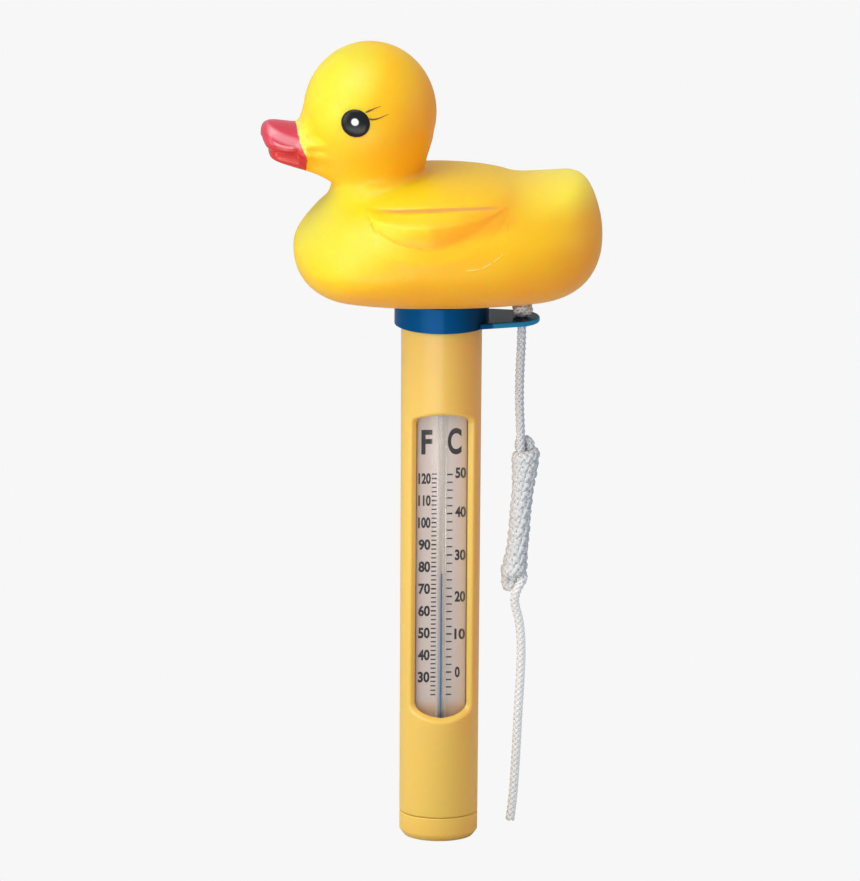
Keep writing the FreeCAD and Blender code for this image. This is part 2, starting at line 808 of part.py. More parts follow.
def make_tether_cord():
    drum = cylinder(
        "knot_drum",
        "sizes.knot_radius",
        "sizes.lug_top",
        "sizes.lug_top + sizes.knot_height",
        x="sizes.eye_centre",
    )
    doc.recompute()
    fillet = size("knot_fillet")
    knot = doc.addObject("Part::Fillet", "stopper_knot")
    knot.Base = drum
    rims = [n for n, edge in enumerate(drum.Shape.Edges, 1) if isinstance(edge.Curve, Part.Circle)]
    knot.Edges = [(number, fillet, fillet) for number in rims]
    node(knot, "stopper_knot")
    make_cord_stretch("tether_cord_upper", UPPER_ROUTE, size("cord_radius"))
    make_cord_stretch("cord_hank", HANK_ROUTE, size("hank_radius"))
    make_cord_stretch("tether_cord_lower", LOWER_ROUTE, size("cord_radius"))


# ---- checks and files ----


def check_document():
    for feature in doc.Objects:
        bad = {"Invalid", "Error"} & set(feature.State)
        if bad:
            raise RuntimeError(f"{feature.Label} is {', '.join(bad)}")
    for feature in nodes:
        shape = feature.Shape
        if shape.isNull() or not shape.isValid() or not shape.Solids:
            raise RuntimeError(f"{feature.Label} has no valid solid")


def write_parts():
    os.makedirs("parts", exist_ok=True)
    for feature in nodes:
        feature.Shape.exportStep(f"parts/{feature.Label}.step")
        box = feature.Shape.BoundBox
        low = f"{box.XMin:.1f} {box.YMin:.1f} {box.ZMin:.1f}"
        high = f"{box.XMax:.1f} {box.YMax:.1f} {box.ZMax:.1f}"
        print(f"{feature.Label}: {feature.Shape.Volume / 1000:.2f} cm3, {low} to {high}")


fill_sheet()
make_case_tube()
make_end_cap()
make_ballast()
make_cushions()
make_sleeve()
make_scale_card()
make_glass_stem()
make_stem_holders()
make_tether_collar()
make_float_plug()
make_duck_float()
make_tether_cord()
doc.recompute()
check_document()
write_parts()
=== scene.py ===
import math

import bpy
import numpy as np
import openvdb
from mathutils import Matrix, Vector


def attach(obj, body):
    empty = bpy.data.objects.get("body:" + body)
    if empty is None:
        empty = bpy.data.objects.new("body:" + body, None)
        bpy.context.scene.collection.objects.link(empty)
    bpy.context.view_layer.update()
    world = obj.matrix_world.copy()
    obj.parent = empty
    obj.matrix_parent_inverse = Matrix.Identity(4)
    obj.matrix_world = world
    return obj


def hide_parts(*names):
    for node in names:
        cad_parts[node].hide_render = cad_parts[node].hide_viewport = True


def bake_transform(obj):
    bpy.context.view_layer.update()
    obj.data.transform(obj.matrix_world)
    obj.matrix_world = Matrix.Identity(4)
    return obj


# Floating pool thermometer. The duck looks towards -X, the scale window faces -Y and the lug
# points to +X.

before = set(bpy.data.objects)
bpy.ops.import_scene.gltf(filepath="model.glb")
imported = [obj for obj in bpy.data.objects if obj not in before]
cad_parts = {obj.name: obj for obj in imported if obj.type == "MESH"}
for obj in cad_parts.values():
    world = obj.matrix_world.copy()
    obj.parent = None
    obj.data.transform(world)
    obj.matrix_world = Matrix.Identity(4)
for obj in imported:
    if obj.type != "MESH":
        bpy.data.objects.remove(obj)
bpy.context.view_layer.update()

MM = 0.001

# ---------------- camera and stage

VIEW_AZIMUTH = math.radians(-4.0)
VIEW_ELEVATION = math.radians(14.4)
VIEW_ROLL = math.radians(0.39)
VIEW_DISTANCE = 2.0
VIEW_WIDTH = 0.258
VIEW_TARGET = Vector((-0.00326, 0.0, 0.1216))

FLOOR_HEIGHT = -0.2
FLOOR_HALF_WIDTH = 6000.0
WORLD_COLOUR = (0.93, 0.96, 1, 1)
WORLD_STRENGTH = 0.58
LIGHT_AIM = (0, 0, 0.15)
LIGHTS = [
    # name, place, aim, width and height in metres, watts, colour
    ("key", (-0.62, -0.5, 1.45), LIGHT_AIM, 1.1, 1.1, 14, (1, 1, 1)),
    ("side", (-1.35, -0.75, 0.42), LIGHT_AIM, 0.6, 1.0, 6.3, (1, 1, 1)),
    ("low", (-0.3, -0.6, 0.004), (-0.3, -0.6, 1), 0.6, 0.5, 4.0, (1, 1, 1)),
    ("rim", (1.2, -0.1, 0.45), LIGHT_AIM, 0.2, 1.0, 1.2, (1, 0.95, 0.9)),
]


def make_camera():
    level_x, level_y = -math.sin(VIEW_AZIMUTH), math.cos(VIEW_AZIMUTH)
    share = math.cos(VIEW_ELEVATION)
    forward = Vector((level_x * share, level_y * share, -math.sin(VIEW_ELEVATION)))
    data = bpy.data.cameras.new("camera")
    data.sensor_fit = "HORIZONTAL"
    data.type = "ORTHO"
    data.ortho_scale = VIEW_WIDTH
    camera = bpy.data.objects.new("camera", data)
    bpy.context.scene.collection.objects.link(camera)
    aim = forward.to_track_quat("-Z", "Y").to_matrix().to_4x4()
    roll = Matrix.Rotation(VIEW_ROLL, 4, "Z")
    camera.matrix_world = Matrix.Translation(VIEW_TARGET - forward * VIEW_DISTANCE) @ aim @ roll
    bpy.context.scene.camera = camera


def make_area_light(name, place, aim, width, height, power, colour):
    data = bpy.data.lights.new(name, "AREA")
    data.shape = "RECTANGLE"
    data.size = width
    data.size_y = height
    data.energy = power
    data.color = colour
    light = bpy.data.objects.new(name, data)
    bpy.context.scene.collection.objects.link(light)
    light.location = place
    light.rotation_euler = (Vector(aim) - Vector(place)).to_track_quat("-Z", "Y").to_euler()


# ---------------- mesh helpers


def make_piece(name, points, faces, material, normals=None):
    """A mesh from points in millimetres, with smooth faces."""
    mesh = bpy.data.meshes.new(name)
    mesh.from_pydata((np.asarray(points, float) * MM).tolist(), [], [list(f) for f in faces])
    mesh.polygons.foreach_set("use_smooth", [True] * len(mesh.polygons))
    mesh.update()
    if normals is not None:
        mesh.normals_split_custom_set_from_vertices(normals.tolist())
    piece = bpy.data.objects.new(name, mesh)
    bpy.context.scene.collection.objects.link(piece)
    mesh.materials.append(material)
    return piece


def place_piece(piece, body, slot, *replaced):
    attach(piece, body)
    if replaced:
        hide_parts(*replaced)


def dress_nodes(material, *names):
    """A better finish on CAD nodes whose shape is already right."""
    for name in names:
        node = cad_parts[name]
        node.data.materials.clear()
        node.data.materials.append(material)


def revolved(profile, segments=160):
    """Points and faces of a closed profile of (radius, height) turned about the Z axis."""
    angles = np.linspace(0, 2 * math.pi, segments, endpoint=False)
    radius, height = np.array(profile, float).T
    x, y = np.outer(np.cos(angles), radius), np.outer(np.sin(angles), radius)
    points = np.stack((x, y, np.tile(height, (segments, 1))), -1).reshape(-1, 3)
    count = len(profile)
    faces = []
    for i in range(segments):
        for j in range(count):
            here, there = i * count, (i + 1) % segments * count
            k = (j + 1) % count
            faces.append((here + j, there + j, there + k, here + k))
    return points, faces


def tube_faces(rings, sides):
    """Faces of a closed-ended tube whose points come ring after ring."""
    faces = []
    for i in range(rings - 1):
        for j in range(sides):
            k = (j + 1) % sides
            a, b = i * sides, (i + 1) * sides
            faces.append((a + j, a + k, b + k, b + j))
    faces.append(tuple(reversed(range(sides))))
    faces.append(tuple(range((rings - 1) * sides, rings * sides)))
    return faces


def joined(parts):
    """Points and faces of several meshes put together."""
    points, faces, shift = [], [], 0
    for part_points, part_faces in parts:
        points.append(np.asarray(part_points, float))
        faces += [tuple(i + shift for i in face) for face in part_faces]
        shift += len(part_points)
    return np.concatenate(points), faces


def drawn(curve):
    """Points and faces that Blender makes of a curve or a text, which is then removed."""
    shape = bpy.data.objects.new(curve.name, curve)
    bpy.context.scene.collection.objects.link(shape)
    bpy.context.view_layer.update()
    evaluated = shape.evaluated_get(bpy.context.evaluated_depsgraph_get())
    mesh = bpy.data.meshes.new_from_object(evaluated)
    points = np.array([v.co for v in mesh.vertices])
    faces = [tuple(face.vertices) for face in mesh.polygons]
    bpy.data.objects.remove(shape)
    bpy.data.curves.remove(curve)
    bpy.data.meshes.remove(mesh)
    return points, faces


def smooth_curve(xs, ys, at):
    """Values of a smooth curve through given points, by cubic Hermite pieces."""
    xs, ys = np.asarray(xs, float), np.asarray(ys, float)
    slopes = np.gradient(ys, xs)
    at = np.clip(at, xs[0], xs[-1])
    k = np.clip(np.searchsorted(xs, at) - 1, 0, len(xs) - 2)
    span = xs[k + 1] - xs[k]
    t = (at - xs[k]) / span
    return (
        ys[k] * (1 + 2 * t) * (1 - t) ** 2
        + span * slopes[k] * t * (1 - t) ** 2
        + ys[k + 1] * t**2 * (3 - 2 * t)
        - span * slopes[k + 1] * t**2 * (1 - t)
    )


def unit(vectors):
    return vectors / np.linalg.norm(vectors, axis=-1, keepdims=True)


def between(pair, share):
    return pair[0] + (pair[1] - pair[0]) * share


def ramp(value, start, end):
    """Zero up to the start, one from the end on, and smooth in between."""
    t = np.clip((value - start) / (end - start), 0, 1)
    return t * t * (3 - 2 * t)


# ---------------- solid fields
# A field is negative inside a shape, positive outside, and close to the distance in between.


def smooth_union(first, second, radius):
    blend = np.clip(0.5 + 0.5 * (second - first) / radius, 0, 1)
    return second * (1 - blend) + first * blend - radius * blend * (1 - blend)


def smooth_cut(body, tool, radius):
    return -smooth_union(-body, tool, radius)


def smooth_common(first, second, radius):
    return -smooth_union(-first, -second, radius)


def ellipsoid(p, centre, radii):
    q = (p - np.asarray(centre)) / np.asarray(radii)
    k0 = np.linalg.norm(q, axis=-1)
    k1 = np.linalg.norm(q / np.asarray(radii), axis=-1)
    return k0 * (k0 - 1) / np.maximum(k1, 1e-9)


def lobe(u, v, w, powers):
    """A rounded block: u, v and w are distances over the half sizes given beside them."""
    (u, a), (v, b), (w, c) = u, v, w
    value = np.abs(u / a) ** powers[0] + np.abs(v / b) ** powers[1] + np.abs(w / c) ** powers[2]
    radius = np.maximum(value, 1e-6) ** (1 / powers[1])
    slope = np.sqrt((u / a**2) ** 2 + (v / b**2) ** 2 + (w / c**2) ** 2)
    return (radius - 1) * radius / np.maximum(slope, 0.05)


def field_gradient(field, points, step=0.04):
    parts = []
    for axis in np.eye(3):
        parts.append((field(points + axis * step) - field(points - axis * step)) / (2 * step))
    return np.stack(parts, -1)


def polygonise(field, low, high, step, coarse=4):
    """Points, quads and normals of a field's zero level. The field is worked out on a coarse
    grid first and then, near the surface only, on the fine one."""
    counts = [int(math.ceil((b - a) / (step * coarse))) * coarse for a, b in zip(low, high)]
    axes = [a + step * np.arange(n) for a, n in zip(low, counts)]
    middle = (coarse - 1) / 2 * step
    blocks = np.stack(np.meshgrid(*[x[::coarse] + middle for x in axes], indexing="ij"), -1)
    values = field(blocks)
    for axis in range(3):
        values = np.repeat(values, coarse, axis)
    near = np.nonzero(np.abs(values) < 2.0 * coarse * step)
    points = np.stack([axes[i][near[i]] for i in range(3)], -1)
    values[near] = field(points)
    volume = openvdb.FloatGrid(background=float(step * 3))
    volume.copyFromArray(values.astype(np.float32))
    points, quads = volume.convertToQuads(isovalue=0.0)
    points = np.asarray(points, float) * step + np.asarray(low, float)
    for _ in range(4):
        gradient = field_gradient(field, points)
        norm = np.sum(gradient**2, -1, keepdims=True)
        move = field(points)[:, None] * gradient / np.maximum(norm, 1e-6)
        points = points - np.clip(move, -step, step)
    normals = field_gradient(field, points)
    normals /= np.maximum(np.linalg.norm(normals, axis=-1, keepdims=True), 1e-9)
    return points, np.asarray(quads), normals


# ---------------- materials


class Graph:
    """A material's node tree, with short calls for the nodes used here. Colours are red, green
    and blue."""

    def __init__(self, name):
        self.material = bpy.data.materials.new(name)
        self.material.use_nodes = True
        self.tree = self.material.node_tree
        self.tree.nodes.clear()
        self.output = self.tree.nodes.new("ShaderNodeOutputMaterial")
        self.axes = None

    def node(self, kind, settings=None, **inputs):
        made = self.tree.nodes.new("ShaderNode" + kind)
        for key, value in (settings or {}).items():
            setattr(made, key, value)
        for key, value in inputs.items():
            self.put(made.inputs[key.replace("_", " ")], value)
        return made

    def put(self, socket, value):
        if isinstance(value, bpy.types.NodeSocket):
            self.tree.links.new(value, socket)
        elif socket.type == "RGBA":
            socket.default_value = (*value, 1.0)
        else:
            socket.default_value = value

    def math(self, operation, *values):
        made = self.node("Math", {"operation": operation})
        for socket, value in zip(made.inputs, values):
            self.put(socket, value)
        return made.outputs[0]

    def times(self, first, *others):
        for value in others:
            first = self.math("MULTIPLY", first, value)
        return first

    def minus(self, first, second):
        return self.math("SUBTRACT", first, second)

    def plus(self, first, second):
        return self.math("ADD", first, second)

    def mix(self, factor, first, second):
        made = self.node("Mix", {"data_type": "RGBA"})
        self.put(made.inputs["Factor"], factor)
        self.put(made.inputs[6], first)
        self.put(made.inputs[7], second)
        return made.outputs[2]

    def tint(self, base, where, strength, colour):
        """The base, turned towards a colour by a share where the mask is one."""
        return self.mix(self.times(where, strength), base, colour)

    def noise(self, scale, detail=2.0, roughness=0.5):
        made = self.node("TexNoise", Scale=scale, Detail=detail, Roughness=roughness)
        self.put(made.inputs["Vector"], self.coordinates())
        return made.outputs["Fac"]

    def spots(self, scale, size):
        """One in the middle of scattered round spots, falling to zero at their edges."""
        made = self.node("TexVoronoi", Scale=scale)
        self.put(made.inputs["Vector"], self.coordinates())
        return self.span(made.outputs["Distance"], size, size * 0.4)

    def coordinates(self):
        return self.node("TexCoord").outputs["Object"]

    def axis(self, name):
        """Millimetres along one axis of the shared frame."""
        if self.axes is None:
            self.axes = self.node("SeparateXYZ", Vector=self.coordinates())
        return self.times(self.axes.outputs[name], 1 / MM)

    def span(self, value, low, high):
        """Zero at low, one at high, and smooth in between; low may be the larger one."""
        made = self.node("MapRange", {"interpolation_type": "SMOOTHSTEP"})
        for socket, number in zip(made.inputs, (value, low, high, 0.0, 1.0)):
            self.put(socket, number)
        return made.outputs[0]

    def curve(self, value, *points):
        """A smooth curve's height over a value, through given points of both."""
        xs, ys = zip(*points)
        low, high = min(ys) - 1, max(ys) + 1
        made = self.node("FloatCurve")
        line = made.mapping.curves[0]
        while len(line.points) < len(points):
            line.points.new(0.5, 0.5)
        for spot, (x, y) in zip(line.points, points):
            spot.location = ((x - xs[0]) / (xs[-1] - xs[0]), (y - low) / (high - low))
        made.mapping.update()
        place = self.node("MapRange", Value=value)
        for key, number in (("From Min", xs[0]), ("From Max", xs[-1])):
            self.put(place.inputs[key], float(number))
        self.put(made.inputs["Value"], place.outputs[0])
        return self.plus(self.times(made.outputs[0], high - low), low)

    def line(self, along, across, width, *points):
        """One on a thin line through given points, zero off it and past its ends."""
        offset = self.minus(across, self.curve(along, *points))
        near = self.span(self.math("ABSOLUTE", offset), width, width * 0.3)
        first, last = points[0][0], points[-1][0]
        edge = 0.15 * (last - first)
        begun = self.span(along, first, first + edge)
        ended = self.span(along, last, last - edge)
        return self.times(near, self.times(begun, ended))

    def towards(self, x, y, z):
        """One where the surface faces a direction, minus one where it faces away from it."""
        made = self.node("VectorMath", {"operation": "DOT_PRODUCT"})
        self.put(made.inputs[0], self.node("TexCoord").outputs["Normal"])
        self.put(made.inputs[1], Vector((x, y, z)).normalized())
        return made.outputs["Value"]

    def bump(self, height, strength, distance):
        made = self.node("Bump", Strength=strength, Distance=distance, Height=height)
        return made.outputs["Normal"]

    def mix_shader(self, factor, first, second):
        made = self.node("MixShader", Fac=factor)
        self.put(made.inputs[1], first)
        self.put(made.inputs[2], second)
        return made.outputs[0]

    def shown(self, shader):
        """The finished material, with a shader as its surface."""
        self.put(self.output.inputs["Surface"], shader)
        return self.material

    def surface(self, base, **sockets):
        return self.shown(self.node("BsdfPrincipled", Base_Color=base, **sockets).outputs[0])


# Lines painted on the duck, as (x, z) points: the wing's crease, a painted shade on the wing, a scuff,
# and painted highlights on the bill; and the edge of the bill's paint.
BILL_PAINT_EDGE = [
    # z, x
    (203, -41.6), (208, -41.5), (211.2, -41.3), (212.5, -41.8),
    (215.7, -43.2), (219, -44.0), (224, -44.8),
]
WING_CREASE = [(-22.5, 198.6), (-15.0, 199.2), (-4.0, 199.8), (6.0, 200.0), (16.5, 199.9)]
PAINTED_WING_SHADE = [(-8.0, 193.5), (2.0, 194.5), (12.0, 197.0), (22.0, 198.5)]
SCUFF_LINE = [(4, 183.2), (9, 183.9), (14, 186.6), (18, 190.4)]
BILL_HIGHLIGHT = [(-53.8, 220.3), (-50.5, 218.3), (-46.5, 216.6), (-42.0, 215.4)]
LIP_HIGHLIGHT = [(-51.8, 216.4), (-49.8, 215.5), (-47.0, 214.9), (-45.0, 214.8)]


def vinyl_yellow(g, x, z, mottle):
    """Yellow with painted shade, deeper where it faces down or back, and painted highlights: paler
    where it faces the light, lemon on the front, and on the lower face and the tail.
    """
    yellow = g.mix(mottle, (0.95, 0.53, 0.005), (0.97, 0.57, 0.007))
    # Painted shade: a deeper orange copy of the yellow for faces turned away from the key light.
    painted_shade = g.mix(mottle, (0.95, 0.37, 0.010), (0.98, 0.40, 0.012))
    lemon = g.mix(mottle, (0.67, 0.64, 0.037), (0.71, 0.68, 0.048))
    facing = g.towards(-0.68, -0.35, 0.64)
    yellow = g.mix(g.span(facing, 0.48, -0.50), yellow, painted_shade)
    # Painted light: a paler yellow where the front half faces the key light.
    painted_light_side = g.times(g.span(facing, 0.48, 0.78), g.span(x, 24.0, -16.0))
    yellow = g.tint(yellow, painted_light_side, 0.8, (0.88, 0.65, 0.006))
    # Painted highlight: lemon where the front faces the light, with less of it at the nape.
    faces_light = g.span(g.towards(-0.58, -0.50, 0.64), 0.58, 0.98)
    front = g.times(faces_light, g.span(x, 14.0, -16.0), g.span(z, 174.0, 188.0))
    nape = g.times(g.span(z, 192.0, 198.0), g.span(z, 213.0, 206.0), g.span(x, -36.0, -26.0))
    front = g.times(front, g.minus(1.0, g.times(nape, 0.75)))
    yellow = g.tint(yellow, front, 0.8, lemon)
    # Painted light: a paler yellow on the lower face.
    face = g.times(g.span(x, -24.0, -37.0), g.span(z, 204.0, 211.0))
    yellow = g.tint(yellow, face, 0.3, (0.90, 0.74, 0.02))
    # Painted shade: deeper orange along the wing's rear half, which faces away from the light.
    hollow = g.line(x, z, 5.0, *PAINTED_WING_SHADE)
    yellow = g.tint(yellow, hollow, 0.5, (0.90, 0.34, 0.012))
    # Painted highlight: a pale lemon patch on the tail's lit flank.
    tail = g.times(g.span(x, 16.0, 38.0), g.span(z, 193.0, 202.0))
    return g.tint(yellow, tail, 0.7, (0.95, 0.82, 0.08))


def vinyl_marks(g, x, z, yellow):
    """The yellow with the wing's dark crease, small specks and a scuff on the flank."""
    crease = g.line(x, z, 0.45, *WING_CREASE)
    yellow = g.tint(yellow, crease, 0.55, (0.72, 0.26, 0.12))
    specks = g.times(g.spots(260.0, 0.06), g.span(g.noise(90.0), 0.52, 0.60))
    yellow = g.tint(yellow, specks, 0.55, (0.55, 0.22, 0.03))
    scuff = g.times(g.line(x, z, 0.22, *SCUFF_LINE), g.span(g.noise(900.0), 0.42, 0.55))
    return g.tint(yellow, scuff, 0.5, (1.0, 0.93, 0.62))


def bill_red(g, x, z):
    """Red paint, warmer on the lower bill, with a painted pink highlight along the upper one and a thin
    painted highlight on its lip.
    """
    red = g.mix(g.noise(120.0, 3.0), (0.57, 0.045, 0.080), (0.64, 0.062, 0.092))
    red = g.tint(red, g.span(z, 216.6, 214.0), 0.85, (0.61, 0.033, 0.022))
    # Painted highlights: a pink band along the upper bill and a thin line on its lip.
    sheen = g.times(g.line(x, z, 2.0, *BILL_HIGHLIGHT), 0.5)
    lip = g.times(g.line(x, z, 0.5, *LIP_HIGHLIGHT), 0.6)
    return g.mix(g.math("MAXIMUM", sheen, lip), red, (0.86, 0.40, 0.46))


def vinyl_material():
    """Soft yellow vinyl with painted light and shade, and the harder and glossier red paint on its
    bill.
    """
    g = Graph("duck_vinyl")
    x, z = g.axis("X"), g.axis("Z")
    mottle = g.noise(45.0, 3.0)
    yellow = vinyl_marks(g, x, z, vinyl_yellow(g, x, z, mottle))
    edge = g.minus(g.curve(z, *BILL_PAINT_EDGE), x)
    # Painted highlight: a pale lemon strip on the cheek beside the bill's paint.
    cheek_highlight = g.times(g.span(edge, -2.6, -0.4), g.span(z, 211.5, 214.5))
    yellow = g.tint(yellow, cheek_highlight, 0.4, (0.92, 0.84, 0.25))
    wander = g.times(g.minus(g.noise(500.0), 0.5), 0.5)
    paint = g.times(g.span(g.plus(edge, wander), -0.12, 0.12), g.span(z, 202.0, 203.0))
    rough = g.minus(0.42, g.times(paint, 0.20))
    rough = g.plus(rough, g.times(g.minus(mottle, 0.5), 0.12))
    return g.surface(
        g.mix(paint, yellow, bill_red(g, x, z)),
        Roughness=rough,
        Specular_IOR_Level=0.4,
        Subsurface_Weight=g.minus(0.9, g.times(paint, 0.75)),
        Subsurface_Radius=(1.0, 0.25, 0.04),
        Subsurface_Scale=0.012,
        Normal=g.bump(g.noise(700.0, 3.0), 0.05, 0.0003),
    )


def case_material():
    """Pale orange plastic with painted shade, deeper on the side away from the light, and painted
    light, brighter towards its foot.
    """
    g = Graph("case_plastic")
    flow = g.noise(25.0, 2.0)
    # Painted light and shade: a lit and a darker copy of the orange, mixed by which way the case faces.
    lit = g.mix(flow, (0.90, 0.56, 0.11), (0.93, 0.60, 0.125))
    painted_shade = g.mix(flow, (0.86, 0.40, 0.075), (0.89, 0.43, 0.085))
    base = g.mix(g.span(g.towards(-0.8, -0.6, 0.0), 0.75, -0.3), lit, painted_shade)
    # Painted light: brighter and paler towards the foot.
    base = g.tint(base, g.span(g.axis("Z"), 60.0, 15.0), 0.5, (1.0, 0.61, 0.11))
    return g.surface(
        base,
        Roughness=g.plus(0.27, g.times(g.noise(600.0, 4.0), 0.08)),
        Subsurface_Weight=0.5,
        Subsurface_Radius=(1.0, 0.35, 0.08),
        Subsurface_Scale=0.004,
        Normal=g.bump(g.noise(150.0, 3.0), 0.04, 0.0004),
    )


def collar_material():
    """Deep blue plastic with a slight metallic sheen, with painted shade in navy on faces away from the
    light, a painted highlight on the lug and a painted shadow that makes the lug dark on its top.
    """
    g = Graph("collar_plastic")
    blue = g.mix(g.noise(80.0), (0.0, 0.070, 0.225), (0.0, 0.085, 0.265))
    # Painted shade: navy for faces turned away from the light.
    navy = (0.002, 0.030, 0.085)
    base = g.mix(g.span(g.towards(-0.8, -0.6, 0.1), 0.60, -0.25), blue, navy)
    # Painted highlight: a lighter blue on the lug.
    lug = g.span(g.axis("X"), 14.2, 15.5)
    base = g.mix(lug, base, (0.02, 0.24, 0.48))
    # Painted shadow: near black on the lug's top, under the duck.
    lug_top_shadow = g.times(lug, g.span(g.towards(0, 0, 1), 0.8, 0.97))
    base = g.mix(lug_top_shadow, base, (0.002, 0.014, 0.036))
    grain = g.bump(g.noise(220.0, 2.0), 0.05, 0.0004)
    return g.surface(base, Metallic=0.12, Specular_IOR_Level=0.05, Roughness=0.24, Normal=grain)


def cord_material():
    """White fibre, whiter below the hank, and above it with painted light and shade: bluish grey on the
    side away from the light.
    """
    g = Graph("cord_fibre")
    z = g.axis("Z")
    fuzz = g.noise(2600.0, 4.0, 0.7)
    # Painted light: the lit grey of the cord above the hank.
    lit = g.mix(fuzz, (0.64, 0.66, 0.67), (0.88, 0.89, 0.89))
    # Whiter below the hank.
    whiter_below = g.mix(fuzz, (0.84, 0.86, 0.86), (1.0, 1.0, 1.0))
    lit = g.mix(g.span(z, 84.0, 75.0), lit, whiter_below)
    # Painted shade: a bluish grey copy for the side that faces away from the light.
    cool = g.mix(fuzz, (0.31, 0.36, 0.43), (0.53, 0.59, 0.67))
    away = g.times(g.span(g.towards(-0.85, -0.5, 0.2), 0.5, -0.5), g.span(z, 72.0, 84.0))
    return g.surface(
        g.mix(away, lit, cool),
        Roughness=0.45,
        Sheen_Weight=0.3,
        Specular_IOR_Level=0.6,
        Normal=g.bump(fuzz, 0.2, 0.0001),
    )


def clear_material(name, tint, roughness, gloss, haze):
    """A thin clear wall: what is behind it shows, its face mirrors the lights, and it turns
    milky where it is seen at a slant."""
    g = Graph(name)
    through = g.node("BsdfTransparent", Color=tint)
    milk = g.node("BsdfDiffuse", Color=(0.88, 0.80, 0.72))
    wave = g.bump(g.noise(90.0, 2.0), 0.01, 0.0001)
    shine = g.node("BsdfGlossy", Color=(1, 1, 1), Roughness=roughness, Normal=wave)
    rim = g.node("LayerWeight", Blend=0.25)
    slant = g.times(g.span(rim.outputs["Facing"], 0.12, 0.45), haze)
    amount = g.math("MULTIPLY_ADD", rim.outputs["Fresnel"], gloss, 0.01)
    body = g.mix_shader(slant, through.outputs[0], milk.outputs[0])
    return g.shown(g.mix_shader(amount, body, shine.outputs[0]))


def card_material():
    """Printed card stock: greyish pink, partly painted shade, with a painted highlight behind the stem
    and painted warm reflections of the case to the right and low.
    """
    g = Graph("card_stock")
    x, z = g.axis("X"), g.axis("Z")
    # Greyish pink: partly the card's own colour, partly painted shade inside the case.
    base = g.mix(g.noise(800.0, 3.0), (0.72, 0.60, 0.54), (0.78, 0.65, 0.59))
    # Painted reflection: a warmer tan to the right, from the orange case.
    base = g.mix(g.span(x, 3.0, 7.0), base, (0.76, 0.56, 0.42))
    # Painted highlight: paler behind the stem.
    pale = g.times(g.span(x, -3.0, -1.6), g.span(x, 3.6, 2.4))
    base = g.tint(base, pale, 0.2, (0.88, 0.84, 0.80))
    # Painted reflection: warmer orange near the window's lower edge.
    base = g.tint(base, g.span(z, 43.5, 39.0), 0.6, (0.75, 0.40, 0.13))
    return g.surface(base, Roughness=0.5)


def plain_material(name, first, second, scale, roughness, metallic=0.0):
    """One finish with a slow change of shade between two colours and a fine grain."""
    g = Graph(name)
    base = g.mix(g.noise(scale, 3.0), first, second)
    grain = g.bump(g.noise(scale * 6, 3.0), 0.08, 0.0002)
    return g.surface(base, Roughness=roughness, Metallic=metallic, Normal=grain)


def floor_material():
    """An evenly lit pale backdrop that throws only a little light back on the model."""
    g = Graph("studio_floor")
    diffuse = g.node("BsdfDiffuse", Color=(0.55, 0.55, 0.55))
    glow = g.node("Emission", Color=(0.93, 0.93, 0.93), Strength=1.0)
    seen = g.node("LightPath").outputs["Is Camera Ray"]
    return g.shown(g.mix_shader(seen, diffuse.outputs[0], glow.outputs[0]))


def make_stage():
    half = FLOOR_HALF_WIDTH
    corners = [(-half, -half), (half, -half), (half, half), (-half, half)]
    points = [(x, y, FLOOR_HEIGHT) for x, y in corners]
    floor = make_piece("studio_floor", points, [(0, 1, 2, 3)], floor_material())
    world = bpy.data.worlds.new("studio")
    world.use_nodes = True
    background = world.node_tree.nodes["Background"]
    background.inputs["Color"].default_value = WORLD_COLOUR
    background.inputs["Strength"].default_value = WORLD_STRENGTH
    bpy.context.scene.world = world
    bpy.context.scene.view_settings.view_transform = "Standard"
    for light in LIGHTS:
        make_area_light(*light)


# ---------------- duck float

# The float's trunk: where its length is measured from, and what its section is at each X. Its
# ends get blunter, front and rear, from the trunk's top to its bottom.
TRUNK_MIDDLE = 1.0
TRUNK_HALF_LENGTH = 45.6
TRUNK_POINTS = [
    # x, height of the widest line, rise above it, drop below it, half width
    (-44.0, 181.5, 15.0, 17.0, 33.5),
    (-36.0, 182.0, 19.0, 17.4, 35.2),
    (-25.0, 182.8, 21.0, 17.4, 35.6),
    (-10.0, 184.0, 21.6, 18.8, 35.8),
    (5.0, 184.5, 21.0, 19.4, 36.0),
    (17.0, 185.0, 19.0, 19.6, 35.5),
    (26.0, 185.5, 16.2, 19.9, 34.6),
    (34.0, 186.0, 14.4, 20.8, 34.0),
    (48.0, 187.0, 12.0, 22.0, 32.0),
]
TRUNK_SHARPNESS = 2.3
FRONT_BLUNTNESS = (2.5, 3.9)
REAR_BLUNTNESS = (4.0, 4.6)
BLUNTNESS_CHANGE = 9.0

# The sloping face behind the tail: its round centre at the bottom and how far that moves
# back, its reach, its slope, and the height at which it has that reach.
REAR_FACE_CENTRE, REAR_FACE_SHIFT = 7.4, 11.0
REAR_FACE_REACH = 46.4
REAR_FACE_OUT, REAR_FACE_UP = 0.93, 0.28
REAR_FACE_HEIGHT = 198.0

TAIL_X, TAIL_HEIGHT = 33.5, 188.0
TAIL_HALF_SIZES = (14.0, 23.0, 15.4)
TAIL_SLOPE, TAIL_LEVEL_X = 0.24, 36.0

HEAD_CENTRE = (-22.0, 0.0, 223.8)
HEAD_RADII = (20.0, 20.0, 21.2)
NECK_X, NECK_RADIUS = -19.4, 13.8
NECK_HEIGHT, NECK_HALF_HEIGHT = 203.0, 12.0
SEAT_RADIUS, SEAT_TOP = 14.9, 165.85
DUCK_STEP = 0.55

